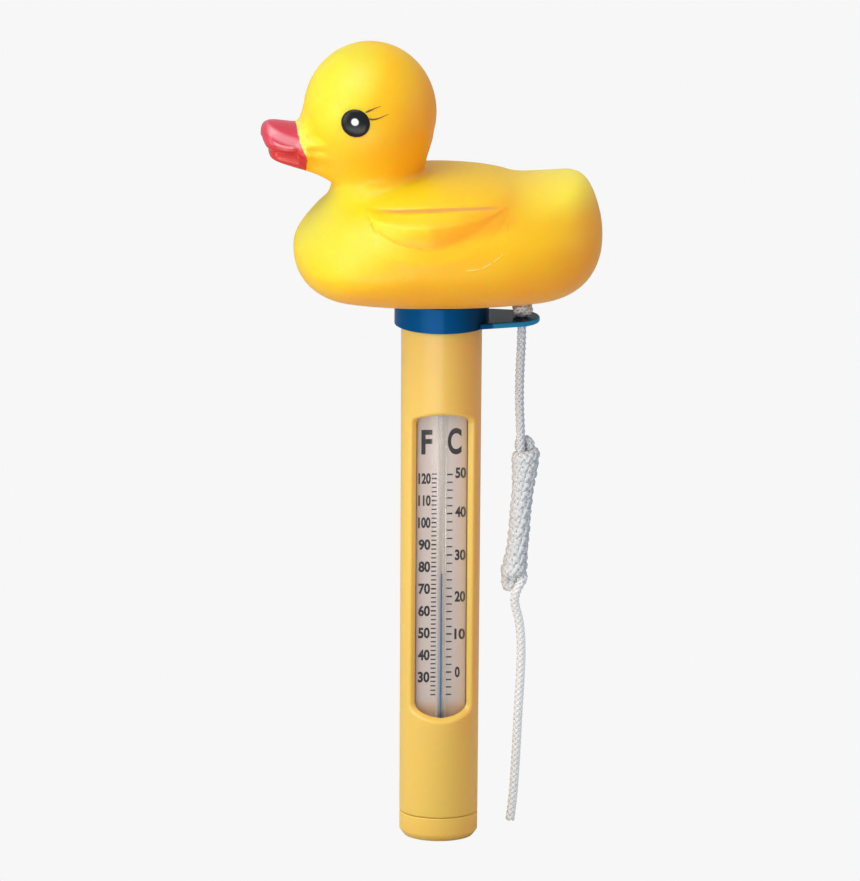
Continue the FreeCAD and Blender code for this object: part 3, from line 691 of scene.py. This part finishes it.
# The wing: a pad that stands out below a nearly level crease and fades into the side.
WING_TOP, WING_TOP_DROP = 199.7, 1.2
WING_HEIGHT = 2.3
WING_FULL_DEPTH = 9.0
GROOVE_RISE, GROOVE_WIDTH = 0.4, 0.45
RIPPLE_DROP, RIPPLE_WIDTH = 4.8, 1.6
RELIEF_DEPTH = 0.25
FLANK = 12.0
WING_FLOOR = [
    # x, lowest height
    (-24.4, 198.6), (-23.4, 195.6), (-20.5, 193.2), (-16.5, 191.3), (-10.9, 190.0),
    (-4.0, 189.8), (2.9, 191.5), (9.6, 194.8), (14.3, 197.8), (17.6, 199.7),
]

# The bill: a dome on a thin brim, and a lower bill. Near the root these three blocks melt
# together and get narrower.
BILL_ROOT, BILL_REACH = -42.5, 11.0
MELT_FROM, MELT_TO = -45.2, -41.8
NARROW_FROM, NARROW_TO = -44.0, -38.0
BRIM_NARROWING, BILL_NARROWING = 1.2, 2.0
MOUTH_HEIGHT = 213.1
CREASE_HEIGHT, CREASE_RISE = 215.4, 1.9
REAR_SHARE = 0.7
DOME_LENGTH, DOME_HALF_WIDTH, DOME_HEIGHT = 12.3, 7.2, 5.2
BRIM_LENGTH, BRIM_HALF_WIDTH, BRIM_LEAN = 11.5, 8.4, 0.45
JAW_TIP, JAW_HEIGHT, JAW_SLOPE = -50.7, 209.75, 0.345
LOWER_X, LOWER_LENGTH, LOWER_REAR_LENGTH, LOWER_HALF_WIDTH = -38.0, 14.4, 8.0, 7.9

# How softly the bill and the trunk join the head, by X.
BILL_BLEND_AT = [-45, -42, -37, -30]
BILL_BLEND = [2.2, 7.0, 6.0, 2.5]
TRUNK_BLEND_AT = [-24, -9, -5]
TRUNK_BLEND = [6.0, 3.0, 1.0]


def trunk_field(p):
    table = np.array(TRUNK_POINTS)
    x, y, z = p[..., 0], np.abs(p[..., 1]), p[..., 2]
    t = (x - TRUNK_MIDDLE) / TRUNK_HALF_LENGTH
    widest, rise, drop, wide = (smooth_curve(table[:, 0], table[:, i], x) for i in range(1, 5))
    height = np.where(z > widest, rise, drop)
    n = TRUNK_SHARPNESS
    low = ramp(z, widest + BLUNTNESS_CHANGE, widest - BLUNTNESS_CHANGE)
    blunt = np.where(t < 0, between(FRONT_BLUNTNESS, low), between(REAR_BLUNTNESS, low))
    value = (y / wide) ** n + (np.abs(z - widest) / height) ** n + np.abs(t) ** blunt
    radius = np.maximum(value, 1e-6) ** (1 / n)
    slope = (y / wide**2) ** 2 + ((z - widest) / height**2) ** 2 + (t / TRUNK_HALF_LENGTH) ** 2
    return (radius - 1) * radius / np.maximum(np.sqrt(slope), 1e-3)


def rear_face(p):
    """The sloping face behind the tail's ridge: a cone that is wider towards the waist."""
    x, y, z = np.moveaxis(p, -1, 0)
    centre = REAR_FACE_CENTRE + REAR_FACE_SHIFT * ramp(z, 185, 200)
    reach = centre + np.hypot(np.maximum(x - centre, 0), y) + 0.5 * np.minimum(x - centre, 0)
    out, up = reach - REAR_FACE_REACH, z - REAR_FACE_HEIGHT
    return REAR_FACE_OUT * out + REAR_FACE_UP * up


def tail_field(p):
    """The raised wedge at the rear of the back."""
    x, y, z = np.moveaxis(p, -1, 0)
    tilt = TAIL_SLOPE * (x - TAIL_LEVEL_X)
    length, width, height = TAIL_HALF_SIZES
    return lobe((x - TAIL_X, length), (y, width), (z - tilt - TAIL_HEIGHT, height), (2.8, 2.1, 2.4))


def wing_relief(p):
    """How far the wing pad stands out of the trunk's side."""
    table = np.array(WING_FLOOR)
    x, y, z = p[..., 0], np.abs(p[..., 1]), p[..., 2]
    floor = smooth_curve(table[:, 0], table[:, 1], x)
    top = WING_TOP - WING_TOP_DROP * ramp(x, -3, -23)
    depth = np.maximum(top - floor, 0.3)
    v = np.clip((top - z) / depth, 0, 1)
    reach = np.clip(depth / WING_FULL_DEPTH, 0, 1) ** 0.6 * (1 - 0.4 * ramp(x, 0, 15))
    pad = (1 - v**2) ** (0.95 + 0.9 * ramp(x, -10, 8))
    pad = WING_HEIGHT * reach * pad * (0.4 + 0.6 * ramp(v, 0, 0.4))
    pad = pad * ramp(z, top + 0.3, top - 0.3)
    groove = np.exp(-(((z - top - GROOVE_RISE) / GROOVE_WIDTH) ** 2))
    ripple = np.exp(-(((floor - z - RIPPLE_DROP) / RIPPLE_WIDTH) ** 2))
    inside = (x > table[0, 0]) & (x < table[-1, 0]) & (y > FLANK)
    return np.where(inside, pad + RELIEF_DEPTH * reach * (ripple - groove), 0)


def neck_field(p):
    radial = np.hypot(p[..., 0] - NECK_X, p[..., 1]) - NECK_RADIUS
    upright = np.abs(p[..., 2] - NECK_HEIGHT) - NECK_HALF_HEIGHT
    outside = np.hypot(np.maximum(radial, 0), np.maximum(upright, 0))
    return outside + np.minimum(np.maximum(radial, upright), 0)


def bill_field(p):
    """Domed upper bill on a thin brim, over a lower bill that runs down to the throat."""
    x, y, z = np.moveaxis(p, -1, 0)
    along = x - BILL_ROOT
    ahead = np.maximum(-along, 0)
    share = np.where(along < 0, 1.0, REAR_SHARE)
    narrower = BILL_NARROWING * ramp(x, NARROW_FROM, NARROW_TO)
    melt = ramp(x, MELT_FROM, MELT_TO)
    crease = CREASE_HEIGHT + CREASE_RISE * (ahead / BILL_REACH) ** 2
    tall = np.maximum(z - crease, 0)
    width = DOME_HALF_WIDTH - narrower
    dome = lobe((along, DOME_LENGTH * share), (y, width), (tall, DOME_HEIGHT), (5.0, 2.1, 2.2))
    dome = np.maximum(dome, crease - 0.8 - z)
    under = MOUTH_HEIGHT - 0.4
    half = (crease + 0.15 - under) / 2
    above = z - under - half
    reach = along + BRIM_LEAN * above * ramp(ahead, 0, 8)
    width = BRIM_HALF_WIDTH - BRIM_NARROWING * melt - narrower
    brim = lobe((reach, BRIM_LENGTH * share), (y, width), (above, half), (4.0, 3.0, 4.0))
    upper = smooth_union(dome, brim, 0.3 + 5.0 * melt)
    jaw = JAW_HEIGHT - JAW_SLOPE * (x - JAW_TIP)
    half = np.maximum((MOUTH_HEIGHT + 0.7 - jaw) / 2, 1.0)
    length = np.where(x < LOWER_X, LOWER_LENGTH, LOWER_REAR_LENGTH)
    width = LOWER_HALF_WIDTH - narrower
    lower = lobe((x - LOWER_X, length), (y, width), (z - jaw - half, half), (10.0, 3.0, 4.0))
    return smooth_union(upper, lower, 0.5 + 5.0 * melt)


def duck_field(p):
    x = p[..., 0]
    head = smooth_union(ellipsoid(p, HEAD_CENTRE, HEAD_RADII), neck_field(p), 5.0)
    trunk = smooth_union(trunk_field(p), tail_field(p), 9.0)
    trunk = smooth_common(trunk, rear_face(p), 4.0) - wing_relief(p)
    shape = smooth_union(head, trunk, np.interp(x, TRUNK_BLEND_AT, TRUNK_BLEND))
    seat = np.maximum(np.hypot(x, p[..., 1]) - SEAT_RADIUS, p[..., 2] - SEAT_TOP)
    shape = np.maximum(shape, -seat)
    return smooth_union(shape, bill_field(p), np.interp(x, BILL_BLEND_AT, BILL_BLEND))


def make_duck():
    points, quads, normals = polygonise(duck_field, (-58, -39, 161), (52, 39, 247), DUCK_STEP)
    duck = make_piece("duck_float_shell", points, quads, vinyl_material(), normals)
    place_piece(duck, "case", "duck_vinyl", "duck_float")


# ---------------- eyes and lashes

EYE_CENTRE = (-27.6, 224.9)
EYE_RADIUS = 4.35
EYE_SWELL = 0.55
GLINT_CENTRE = (-27.85, 225.5)
LASH_HALF_WIDTH = 0.33
LASHES = [
    [(-24.6, 228.4), (-23.0, 229.1), (-21.6, 229.7), (-19.9, 230.2)],
    [(-23.8, 226.5), (-22.4, 226.3), (-20.8, 226.6), (-19.2, 227.2), (-17.6, 227.8)],
]


def head_side(x, z, side, lift):
    """Points over the head's side, at places in the XZ plane, lifted off its surface."""
    centre, radii = np.array(HEAD_CENTRE), np.array(HEAD_RADII)
    dx, dz = np.asarray(x) - centre[0], np.asarray(z) - centre[2]
    inside = 1 - (dx / radii[0]) ** 2 - (dz / radii[2]) ** 2
    y = side * radii[1] * np.sqrt(np.maximum(inside, 0.01))
    place = np.stack((dx, y, dz), -1)
    return centre + place + unit(place / radii**2) * np.asarray(lift)[..., None]


def eye_material():
    """Black paint with a pale glint above its middle."""
    g = Graph("eye_paint")
    away_x = g.minus(g.axis("X"), GLINT_CENTRE[0])
    away_z = g.minus(g.axis("Z"), GLINT_CENTRE[1])
    square = g.plus(g.times(away_x, away_x), g.times(away_z, away_z))
    glint = g.span(g.math("SQRT", square), 1.3, 0.85)
    black = g.mix(g.noise(400.0, 3.0), (0.004, 0.004, 0.005), (0.012, 0.012, 0.013))
    base = g.mix(glint, black, (0.80, 0.86, 0.88))
    grain = g.bump(g.noise(300.0, 2.0), 0.15, 0.0004)
    return g.surface(base, Specular_IOR_Level=0.25, Roughness=0.24, Normal=grain)


def make_eye(name, side, material):
    """A painted disc that swells a little out of the head's side."""
    rings, spokes = 14, 64
    x, z, lift = [EYE_CENTRE[0]], [EYE_CENTRE[1]], [EYE_SWELL]
    for ring in range(1, rings + 1):
        share = ring / rings
        for angle in np.linspace(0, 2 * math.pi, spokes, endpoint=False):
            x.append(EYE_CENTRE[0] + EYE_RADIUS * share * math.cos(angle))
            z.append(EYE_CENTRE[1] + EYE_RADIUS * share * math.sin(angle))
            lift.append(EYE_SWELL * math.sqrt(max(1 - share**4, 0)) - 0.12 * (ring == rings))
    faces = []
    for j in range(spokes):
        k = (j + 1) % spokes
        faces.append((0, 1 + k, 1 + j))
        for ring in range(rings - 1):
            a, b = 1 + ring * spokes, 1 + (ring + 1) * spokes
            faces.append((a + j, a + k, b + k, b + j))
    points = head_side(x, z, side, lift)
    if side < 0:
        faces = [face[::-1] for face in faces]
    eye = make_piece(name, points, faces, material)
    place_piece(eye, "case", "duck_vinyl")


def make_lashes(name, side, material):
    """Two thin painted strokes, each drawn to a point at its outer end."""
    parts = []
    steps = np.linspace(0, 1, 24)
    edges = (-1, -0.4, 0.4, 1)
    for lash in LASHES:
        bend = np.array(lash)
        knots = np.linspace(0, 1, len(bend))
        x, z = (smooth_curve(knots, bend[:, i], steps) for i in range(2))
        along = unit(np.stack((np.gradient(x), np.gradient(z)), -1))
        half = LASH_HALF_WIDTH * np.clip(1.15 - steps, 0.12, 1) * np.clip(0.55 + 4 * steps, 0, 1)
        sides = []
        for edge in edges:
            px, pz = x - along[:, 1] * half * edge, z + along[:, 0] * half * edge
            lift = 0.06 if abs(edge) < 1 else -0.02
            sides.append(head_side(px, pz, side, np.full_like(px, lift)))
        points = np.stack(sides, 1).reshape(-1, 3)
        faces = []
        for i in range(len(steps) - 1):
            for j in range(len(edges) - 1):
                a, b = i * len(edges) + j, (i + 1) * len(edges) + j
                faces.append((a, a + 1, b + 1, b) if side < 0 else (a, b, b + 1, a + 1))
        parts.append((points, faces))
    points, faces = joined(parts)
    place_piece(make_piece(name, points, faces, material), "case", "duck_vinyl")


def make_face():
    eye = eye_material()
    brown = plain_material("lash_paint", (0.10, 0.035, 0.012), (0.16, 0.06, 0.02), 300.0, 0.5)
    for label, side in (("left", -1), ("right", 1)):
        make_eye(f"{label}_eye", side, eye)
        make_lashes(f"{label}_lashes", side, brown)


# ---------------- case

# Heights, then radii, then the window, which is wider at the tube's outside than at its bore.
CASE_BOTTOM, CASE_SHOULDER, CASE_LEDGE, CASE_TOP = 7.42, 158.0, 149.9, 165.7
CASE_FOOT_RADIUS, CASE_FLARE = 11.7, 0.45
CASE_NECK_RADIUS, CASE_NECK_BORE = 10.0, 7.6
BORE_RADIUS, WALL = 9.6, 2.3
CASE_STEP = 0.5
WINDOW_BOTTOM, WINDOW_TOP = 38.5, 131.6
WINDOW_HALF, WINDOW_OUTER_HALF = 7.3, 9.55
BOTTOM_BEVEL, TOP_BEVEL = 1.4, 1.05
BOTTOM_ARC, TOP_ARC = (24.0, 30.0), 34.0
WINDOW_CORNER, WINDOW_ROUNDING = 1.6, 0.7
CAP_PROFILE = [
    # radius, height: base, outer side, seam, plug, inside
    (0.01, 0.0), (9.9, 0.0), (10.25, 0.12), (10.5, 0.36), (11.45, 1.6),
    (11.62, 1.9), (11.66, 2.3), (11.7, 7.0),
    (11.66, 7.25), (11.5, 7.34), (11.0, 7.35), (9.5, 7.4),
    (9.5, 13.9), (7.5, 14.0),
    (7.5, 2.4), (0.01, 2.4),
]


def case_radius(z):
    return CASE_FOOT_RADIUS + CASE_FLARE * (z - CASE_BOTTOM) / (CASE_SHOULDER - CASE_BOTTOM)


def window_field(p):
    """The window's opening, which widens from the bore to the tube's outside."""
    x, y, z = np.moveaxis(p, -1, 0)
    out = np.clip((np.hypot(x, y) - BORE_RADIUS) / WALL, -0.5, 1.3)
    half = between((WINDOW_HALF, WINDOW_OUTER_HALF), out)
    low = WINDOW_BOTTOM - BOTTOM_BEVEL * out + x**2 / between(BOTTOM_ARC, out)
    high = WINDOW_TOP + TOP_BEVEL * out - x**2 / TOP_ARC
    opening = smooth_common(np.abs(x) - half, np.maximum(low - z, z - high), WINDOW_CORNER)
    return np.maximum(opening, y)


def case_field(p):
    z = p[..., 2]
    across = np.hypot(p[..., 0], p[..., 1])
    ends = np.maximum(CASE_BOTTOM - z, z - CASE_SHOULDER)
    wall = smooth_common(across - case_radius(z), ends, 0.6)
    neck = np.maximum(across - CASE_NECK_RADIUS, np.maximum(CASE_LEDGE - z, z - CASE_TOP))
    outside = smooth_union(wall, neck, 0.4)
    bore = np.maximum(across - BORE_RADIUS, z - CASE_LEDGE)
    inside = np.minimum(bore, across - CASE_NECK_BORE)
    hollow = np.maximum(outside, -inside)
    return smooth_cut(hollow, window_field(p), WINDOW_ROUNDING)


def make_case():
    plastic = case_material()
    low, high = (-12.6, -12.6, 6.3), (12.6, 12.6, 167)
    points, quads, normals = polygonise(case_field, low, high, CASE_STEP)
    case = make_piece("case_tube_shell", points, quads, plastic, normals)
    place_piece(case, "case", "case_plastic", "case_tube")
    cap = make_piece("end_cap_shell", *revolved(CAP_PROFILE), plastic)
    place_piece(cap, "case", "case_plastic", "end_cap")
    dress_nodes(plastic, "float_plug")


# ---------------- scale

CARD_FACE = -5.0
PRINT_HEIGHT = 0.03
LETTERS = [
    # text, left, right, bottom, top
    ("F", -6.2, -2.9, 118.6, 126.2),
    ("C", 1.75, 5.9, 118.5, 126.7),
]
LETTER_WEIGHT, FIGURE_WEIGHT = 0.032, 0.038
FIGURE_HALF_HEIGHT = 1.68
TICK_HALF, TEN_TICK_HALF = 0.19, 0.2375
FAHRENHEIT_TICKS, CELSIUS_TICKS = (-3.0, -1.5), (1.65, 3.28)
FAHRENHEIT_TOP, FAHRENHEIT_TOP_HEIGHT, FAHRENHEIT_DEGREE = 120, 111.1, 0.683
CELSIUS_HEIGHTS = [(-6, 44.2), (0, 51.1), (10, 62.9), (20, 74.5), (28, 84.8), (40, 100.2), (50, 112.3)]


def fahrenheit_height(degrees):
    return FAHRENHEIT_TOP_HEIGHT + FAHRENHEIT_DEGREE * (degrees - FAHRENHEIT_TOP)


def celsius_height(degrees):
    return float(np.interp(degrees, *zip(*CELSIUS_HEIGHTS)))


def bar(left, right, bottom, top):
    """A printed bar on the card's face."""
    corners = ((left, bottom), (right, bottom), (right, top), (left, top))
    points = [(x, y, z) for y in (CARD_FACE - PRINT_HEIGHT, CARD_FACE) for x, z in corners]
    faces = [(0, 1, 2, 3), (0, 4, 5, 1), (1, 5, 6, 2), (2, 6, 7, 3), (3, 7, 4, 0), (7, 6, 5, 4)]
    return points, faces


def printed(text, left, right, bottom, top, weight):
    """Raised print of a text, fitted to its box on the card."""
    curve = bpy.data.curves.new("figure", "FONT")
    curve.body = text
    curve.offset = weight
    curve.extrude = 0.05
    curve.resolution_u = 6
    flat, faces = drawn(curve)
    low, high = flat.min(0), flat.max(0)
    share = (flat - low) / (high - low)
    x = between((left, right), share[:, 0])
    y = CARD_FACE - share[:, 2] * PRINT_HEIGHT
    z = between((bottom, top), share[:, 1])
    return np.stack((x, y, z), -1), faces


def ticks(degrees_marked, height_of, left, right):
    """A scale's ticks, with a thicker one at every tenth degree."""
    bars = []
    for degrees in degrees_marked:
        half = TICK_HALF if degrees % 10 else TEN_TICK_HALF
        bars.append(bar(left, right, height_of(degrees) - half, height_of(degrees) + half))
    return bars


def figure(degrees, left, right, height):
    low, high = height - FIGURE_HALF_HEIGHT, height + FIGURE_HALF_HEIGHT
    return printed(str(degrees), left, right, low, high, FIGURE_WEIGHT)


def make_scale():
    parts = [printed(*letter, LETTER_WEIGHT) for letter in LETTERS]
    parts += ticks(range(22, 123, 2), fahrenheit_height, *FAHRENHEIT_TICKS)
    for degrees in range(30, 121, 10):
        left = -7.0 if degrees >= 100 else -6.8
        parts.append(figure(degrees, left, -3.3, fahrenheit_height(degrees)))
    parts += ticks(range(-6, 51, 2), celsius_height, *CELSIUS_TICKS)
    for degrees in range(0, 51, 10):
        left, right = (4.1, 7.3) if degrees else (4.3, 5.8)
        height = celsius_height(degrees) + (0.5 if degrees >= 40 else 0.0)
        parts.append(figure(degrees, left, right, height))
    ink = plain_material("scale_ink", (0.022, 0.020, 0.020), (0.040, 0.036, 0.036), 900.0, 0.55)
    scale = make_piece("scale_print", *joined(parts), ink)
    scale.data.polygons.foreach_set("use_smooth", [False] * len(scale.data.polygons))
    place_piece(scale, "case", "card_stock")


# ---------------- stem and spirit

STEM_FOOT, STEM_TOP = 33.0, 138.5
STEM_RADIUS, STEM_END = 1.5, 1.4
STEM_Y = -6.5
SPIRIT_FOOT, SPIRIT_TOP = 28.6, 82.2
SPIRIT_RADIUS, SPIRIT_TIP_RADIUS = 0.25, 0.12


def make_stem():
    """The thermometer's glass: a clear rod, drawn to a round end."""
    glass = clear_material("stem_glass", (0.99, 0.99, 0.985), 0.1, 0.6, 0.6)
    shoulder = STEM_TOP - STEM_END
    profile = [(0.02, STEM_FOOT), (1.46, STEM_FOOT), (STEM_RADIUS, STEM_FOOT + 0.1)]
    profile.append((STEM_RADIUS, shoulder))
    for angle in np.linspace(0.2, 1.4, 6):
        height = shoulder + STEM_END * math.sin(angle)
        profile.append((STEM_RADIUS * math.cos(angle), height))
    profile.append((0.02, STEM_TOP))
    points, faces = revolved(profile, 40)
    points[:, 1] += STEM_Y
    place_piece(make_piece("stem_rod", points, faces, glass), "case", "stem_glass", "glass_stem")


def make_spirit():
    """The blue thread, which runs up out of the bulb."""
    blue = plain_material("blue_spirit", (0.05, 0.16, 0.36), (0.08, 0.22, 0.45), 300.0, 0.25)
    rings, sides = 120, 16
    angles = np.linspace(0, 2 * math.pi, sides, endpoint=False)
    heights = np.linspace(SPIRIT_FOOT, SPIRIT_TOP, rings)
    radius = np.full(rings, SPIRIT_RADIUS)
    radius[-1] = SPIRIT_TIP_RADIUS
    x, y = np.outer(radius, np.cos(angles)), STEM_Y + np.outer(radius, np.sin(angles))
    points = np.stack((x, y, np.tile(heights[:, None], (1, sides))), -1).reshape(-1, 3)
    thread = make_piece("spirit_thread", points, tube_faces(rings, sides), blue)
    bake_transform(thread)
    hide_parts("spirit_column")
    dress_nodes(blue, "spirit_reservoir")


# ---------------- tether cord

UPPER_ROUTE = [(24.1, 0, 160), (24.1, 0, 152), (23.6, 0.1, 143), (23.5, 0.0, 133)]
HANK_ENTRY = [(23.9, -0.9, 124.4), (24.0, -1.1, 118.5)]
HANK_FOOT = [
    (19.9, 0.4, 79.6), (19.7, 0.9, 77.2), (20.5, 1.1, 75.2), (21.7, 0.7, 76.6), (22.0, 0.4, 79.0),
]
HANK_HEAD = [(26.8, 0.3, 118.6), (27.0, 0.8, 120.7), (25.4, 1.5, 121.5), (23.6, 2.0, 120.4)]
HANK_HEAD_END = [(23.5, 2.4, 118.6), (25.4, 2.9, 117.8), (27.6, 1.9, 118.0)]
HANK_TAIL = [(25.0, -1.5, 78.8), (23.9, -1.9, 77.3), (22.8, -1.5, 74.8)]
LOWER_ROUTE = [
    (22.3, -0.2, 71.4), (24.1, 0.3, 65.4), (24.7, 0.2, 57.5),
    (24.4, 0, 48), (23.8, -0.2, 38.5), (23.4, -0.2, 28.5),
    (22.9, 0, 18.5), (22.4, 0.2, 10.6), (21.6, 0.3, 4.0),
]

# The hank: its middle's X and its turns' radius, each by height, and how far off its middle
# the two straight runs inside it are.
HANK_AXIS = [
    # z, x
    (76.5, 21.6), (82.3, 22.4), (89.4, 23.35), (100.0, 24.15),
    (109.0, 25.0), (116.0, 25.5), (124.0, 25.4),
]
TURN_SIZES = [
    # z, radius
    (79.5, 2.75), (82.0, 2.45), (86, 2.0), (98, 1.8),
    (107, 1.9), (112.0, 2.4), (117.5, 2.9),
]
HANK_TURNS = 13
TURN_POINTS = 16
HANK_TOP, HANK_BOTTOM = 117.2, 79.8
CORE_OFFSET, CORE_POINTS = 0.75, 7
HANK_FULLNESS, TURN_SPREAD = 0.17, 0.42

BRAID_PITCH = 6.8
BRAID_RADIUS, BRAID_WEAVE = 0.88, 0.19
BRAID_CORE_RADIUS = 0.78
STRANDS_EACH_WAY, STRAND_SIDES = 4, 8
STRAND_HALF_WIDTH, STRAND_HALF_THICKNESS = 0.52, 0.38
KNOT_X, KNOT_HEIGHT = 24.1, 162.1
KNOT_SIZE = 0.92


def by_height(table, z):
    heights, values = zip(*table)
    return float(smooth_curve(heights, values, z))


def cord_route():
    """Control points of the whole cord: down from the lug, doubled through the hank's middle,
    folded over its top, wound round itself to the foot and out through the bottom loop."""
    points = UPPER_ROUTE + HANK_ENTRY
    for z in np.linspace(113.5, 82, CORE_POINTS):
        points.append((by_height(HANK_AXIS, z) - CORE_OFFSET, 0.0, z))
    points += HANK_FOOT
    for z in np.linspace(82, 115, CORE_POINTS):
        points.append((by_height(HANK_AXIS, z) + CORE_OFFSET, 0.2, z))
    points += HANK_HEAD + HANK_HEAD_END
    for z in np.linspace(HANK_TOP, HANK_BOTTOM, HANK_TURNS * TURN_POINTS + 1):
        angle = 2 * math.pi * HANK_TURNS * (HANK_TOP - z) / (HANK_TOP - HANK_BOTTOM)
        radius = by_height(TURN_SIZES, z)
        middle = by_height(HANK_AXIS, z)
        points.append((middle + radius * math.cos(angle), -radius * math.sin(angle), z))
    return points + HANK_TAIL + LOWER_ROUTE


def spline_points(route):
    """Points along the NURBS curve that has the route as its control points."""
    curve = bpy.data.curves.new("cord_line", "CURVE")
    curve.dimensions = "3D"
    curve.resolution_u = 12
    spline = curve.splines.new("NURBS")
    spline.points.add(len(route) - 1)
    for spot, place in zip(spline.points, route):
        spot.co = (*[c * MM for c in place], 1.0)
    spline.order_u = 3
    spline.use_endpoint_u = True
    return drawn(curve)[0] / MM


def evenly(points, step):
    """The same line with points at even distances, and how far along it each one is."""
    lengths = np.concatenate(([0], np.cumsum(np.linalg.norm(np.diff(points, axis=0), axis=1))))
    count = max(int(round(lengths[-1] / step)), 2) + 1
    at = np.linspace(0, lengths[-1], count)
    return np.stack([np.interp(at, lengths, points[:, i]) for i in range(3)], -1), at


def twist_free_axes(points):
    """Two cross directions carried along a line without twist."""
    along = unit(np.gradient(points, axis=0))
    side = np.zeros_like(points)
    side[0] = unit(np.cross(along[0], (0.0, 1.0, 0.0)))
    for i in range(1, len(points)):
        side[i] = unit(side[i - 1] - along[i] * np.dot(side[i - 1], along[i]))
    return along, side, np.cross(along, side)


def pressed(shell, points):
    """The cord's section spread along the hank, where each turn is squeezed by the next."""
    z = points[:, 2]
    spread = TURN_SPREAD * ramp(z, 79, 81) * ramp(z, 119, 116)
    made = shell.copy()
    made[..., 2] += (spread * (shell[..., 2].T - z)).T
    return made.reshape(-1, 3)


def braid(line, scale=1.0, step=0.34):
    """Flat strands that weave over and under round a line, half of them each way, and the
    core that fills the middle. The cord is fuller where it is wound tight in the hank."""
    points, at = evenly(line, step)
    along, side, other = twist_free_axes(points)
    size = scale * (1 + HANK_FULLNESS * ramp(points[:, 2], 78, 81) * ramp(points[:, 2], 119, 116))
    parts = []
    ring = np.linspace(0, 2 * math.pi, STRAND_SIDES, endpoint=False)
    faces = tube_faces(len(points), STRAND_SIDES)
    for way in (1, -1):
        for number in range(STRANDS_EACH_WAY):
            share = number / STRANDS_EACH_WAY
            turn = 2 * math.pi * (way * at / BRAID_PITCH + share)
            weave = way * BRAID_WEAVE * np.cos(2 * math.pi * STRANDS_EACH_WAY * at / BRAID_PITCH)
            radius = (BRAID_RADIUS + weave) * size
            outward = side * np.cos(turn)[:, None] + other * np.sin(turn)[:, None]
            middle = points + outward * radius[:, None]
            path = unit(np.gradient(middle, axis=0))
            across = unit(np.cross(path, outward))
            out = np.cross(across, path)
            wide = STRAND_HALF_WIDTH * size[:, None] * np.cos(ring)
            thick = STRAND_HALF_THICKNESS * size[:, None] * np.sin(ring)
            shell = across[:, None] * wide[..., None] + out[:, None] * thick[..., None]
            parts.append((pressed(middle[:, None] + shell, points), faces))
    wide, high = (BRAID_CORE_RADIUS * size[:, None] * wave for wave in (np.cos(ring), np.sin(ring)))
    core = points[:, None] + side[:, None] * wide[..., None] + other[:, None] * high[..., None]
    parts.append((pressed(core, points), faces))
    return joined(parts), points, at[-1]


def knot_line():
    """An overhand knot pulled tight, lying on the lug over its eye."""
    t = np.linspace(0.12, 2 * math.pi + 0.05, 160)
    wide = 1.45 + 0.75 * np.cos(3 * t)
    x, y = KNOT_X + wide * np.cos(2 * t), wide * np.sin(2 * t)
    return np.stack((x, y, KNOT_HEIGHT + 0.85 * np.sin(3 * t)), -1)


def make_cord():
    fibre = cord_material()
    (points, faces), line, length = braid(spline_points(cord_route()))
    cord = make_piece("tether_cord_braid", points, faces, fibre)
    place_piece(cord, "collar", "cord_fibre", "tether_cord_upper", "cord_hank", "tether_cord_lower")
    (points, faces), _, _ = braid(knot_line(), KNOT_SIZE)
    knot = make_piece("stopper_knot_braid", points, faces, fibre)
    place_piece(knot, "collar", "cord_fibre", "stopper_knot")


# ---------------- finish on the CAD nodes


def dress_cad_nodes():
    dress_nodes(collar_material(), "tether_collar")
    sleeve = clear_material("clear_plastic", (0.995, 0.995, 0.995), 0.12, 0.1, 0.12)
    dress_nodes(sleeve, "clear_sleeve")
    dress_nodes(card_material(), "scale_card")
    white = plain_material("holder_plastic", (0.72, 0.72, 0.70), (0.8, 0.8, 0.78), 150.0, 0.4)
    dress_nodes(white, "lower_stem_holder", "upper_stem_holder")
    stopper = plain_material("plug_rubber", (0.66, 0.66, 0.62), (0.72, 0.72, 0.68), 150.0, 0.6)
    dress_nodes(stopper, "sleeve_lower_plug", "sleeve_upper_plug")
    seal = plain_material("seal_rubber", (0.012, 0.012, 0.013), (0.02, 0.02, 0.021), 200.0, 0.55)
    dress_nodes(seal, "cap_seal", "plug_seal")
    foam = plain_material("cushion_foam", (0.75, 0.75, 0.72), (0.85, 0.85, 0.82), 900.0, 0.9)
    dress_nodes(foam, "lower_cushion", "upper_cushion")
    steel = plain_material("ballast_steel", (0.5, 0.5, 0.5), (0.6, 0.6, 0.6), 400.0, 0.35, metallic=1.0)
    dress_nodes(steel, "ballast_weight")


make_camera()
make_stage()
make_cord()
make_duck()
make_face()
make_case()
make_scale()
make_stem()
make_spirit()
dress_cad_nodes()
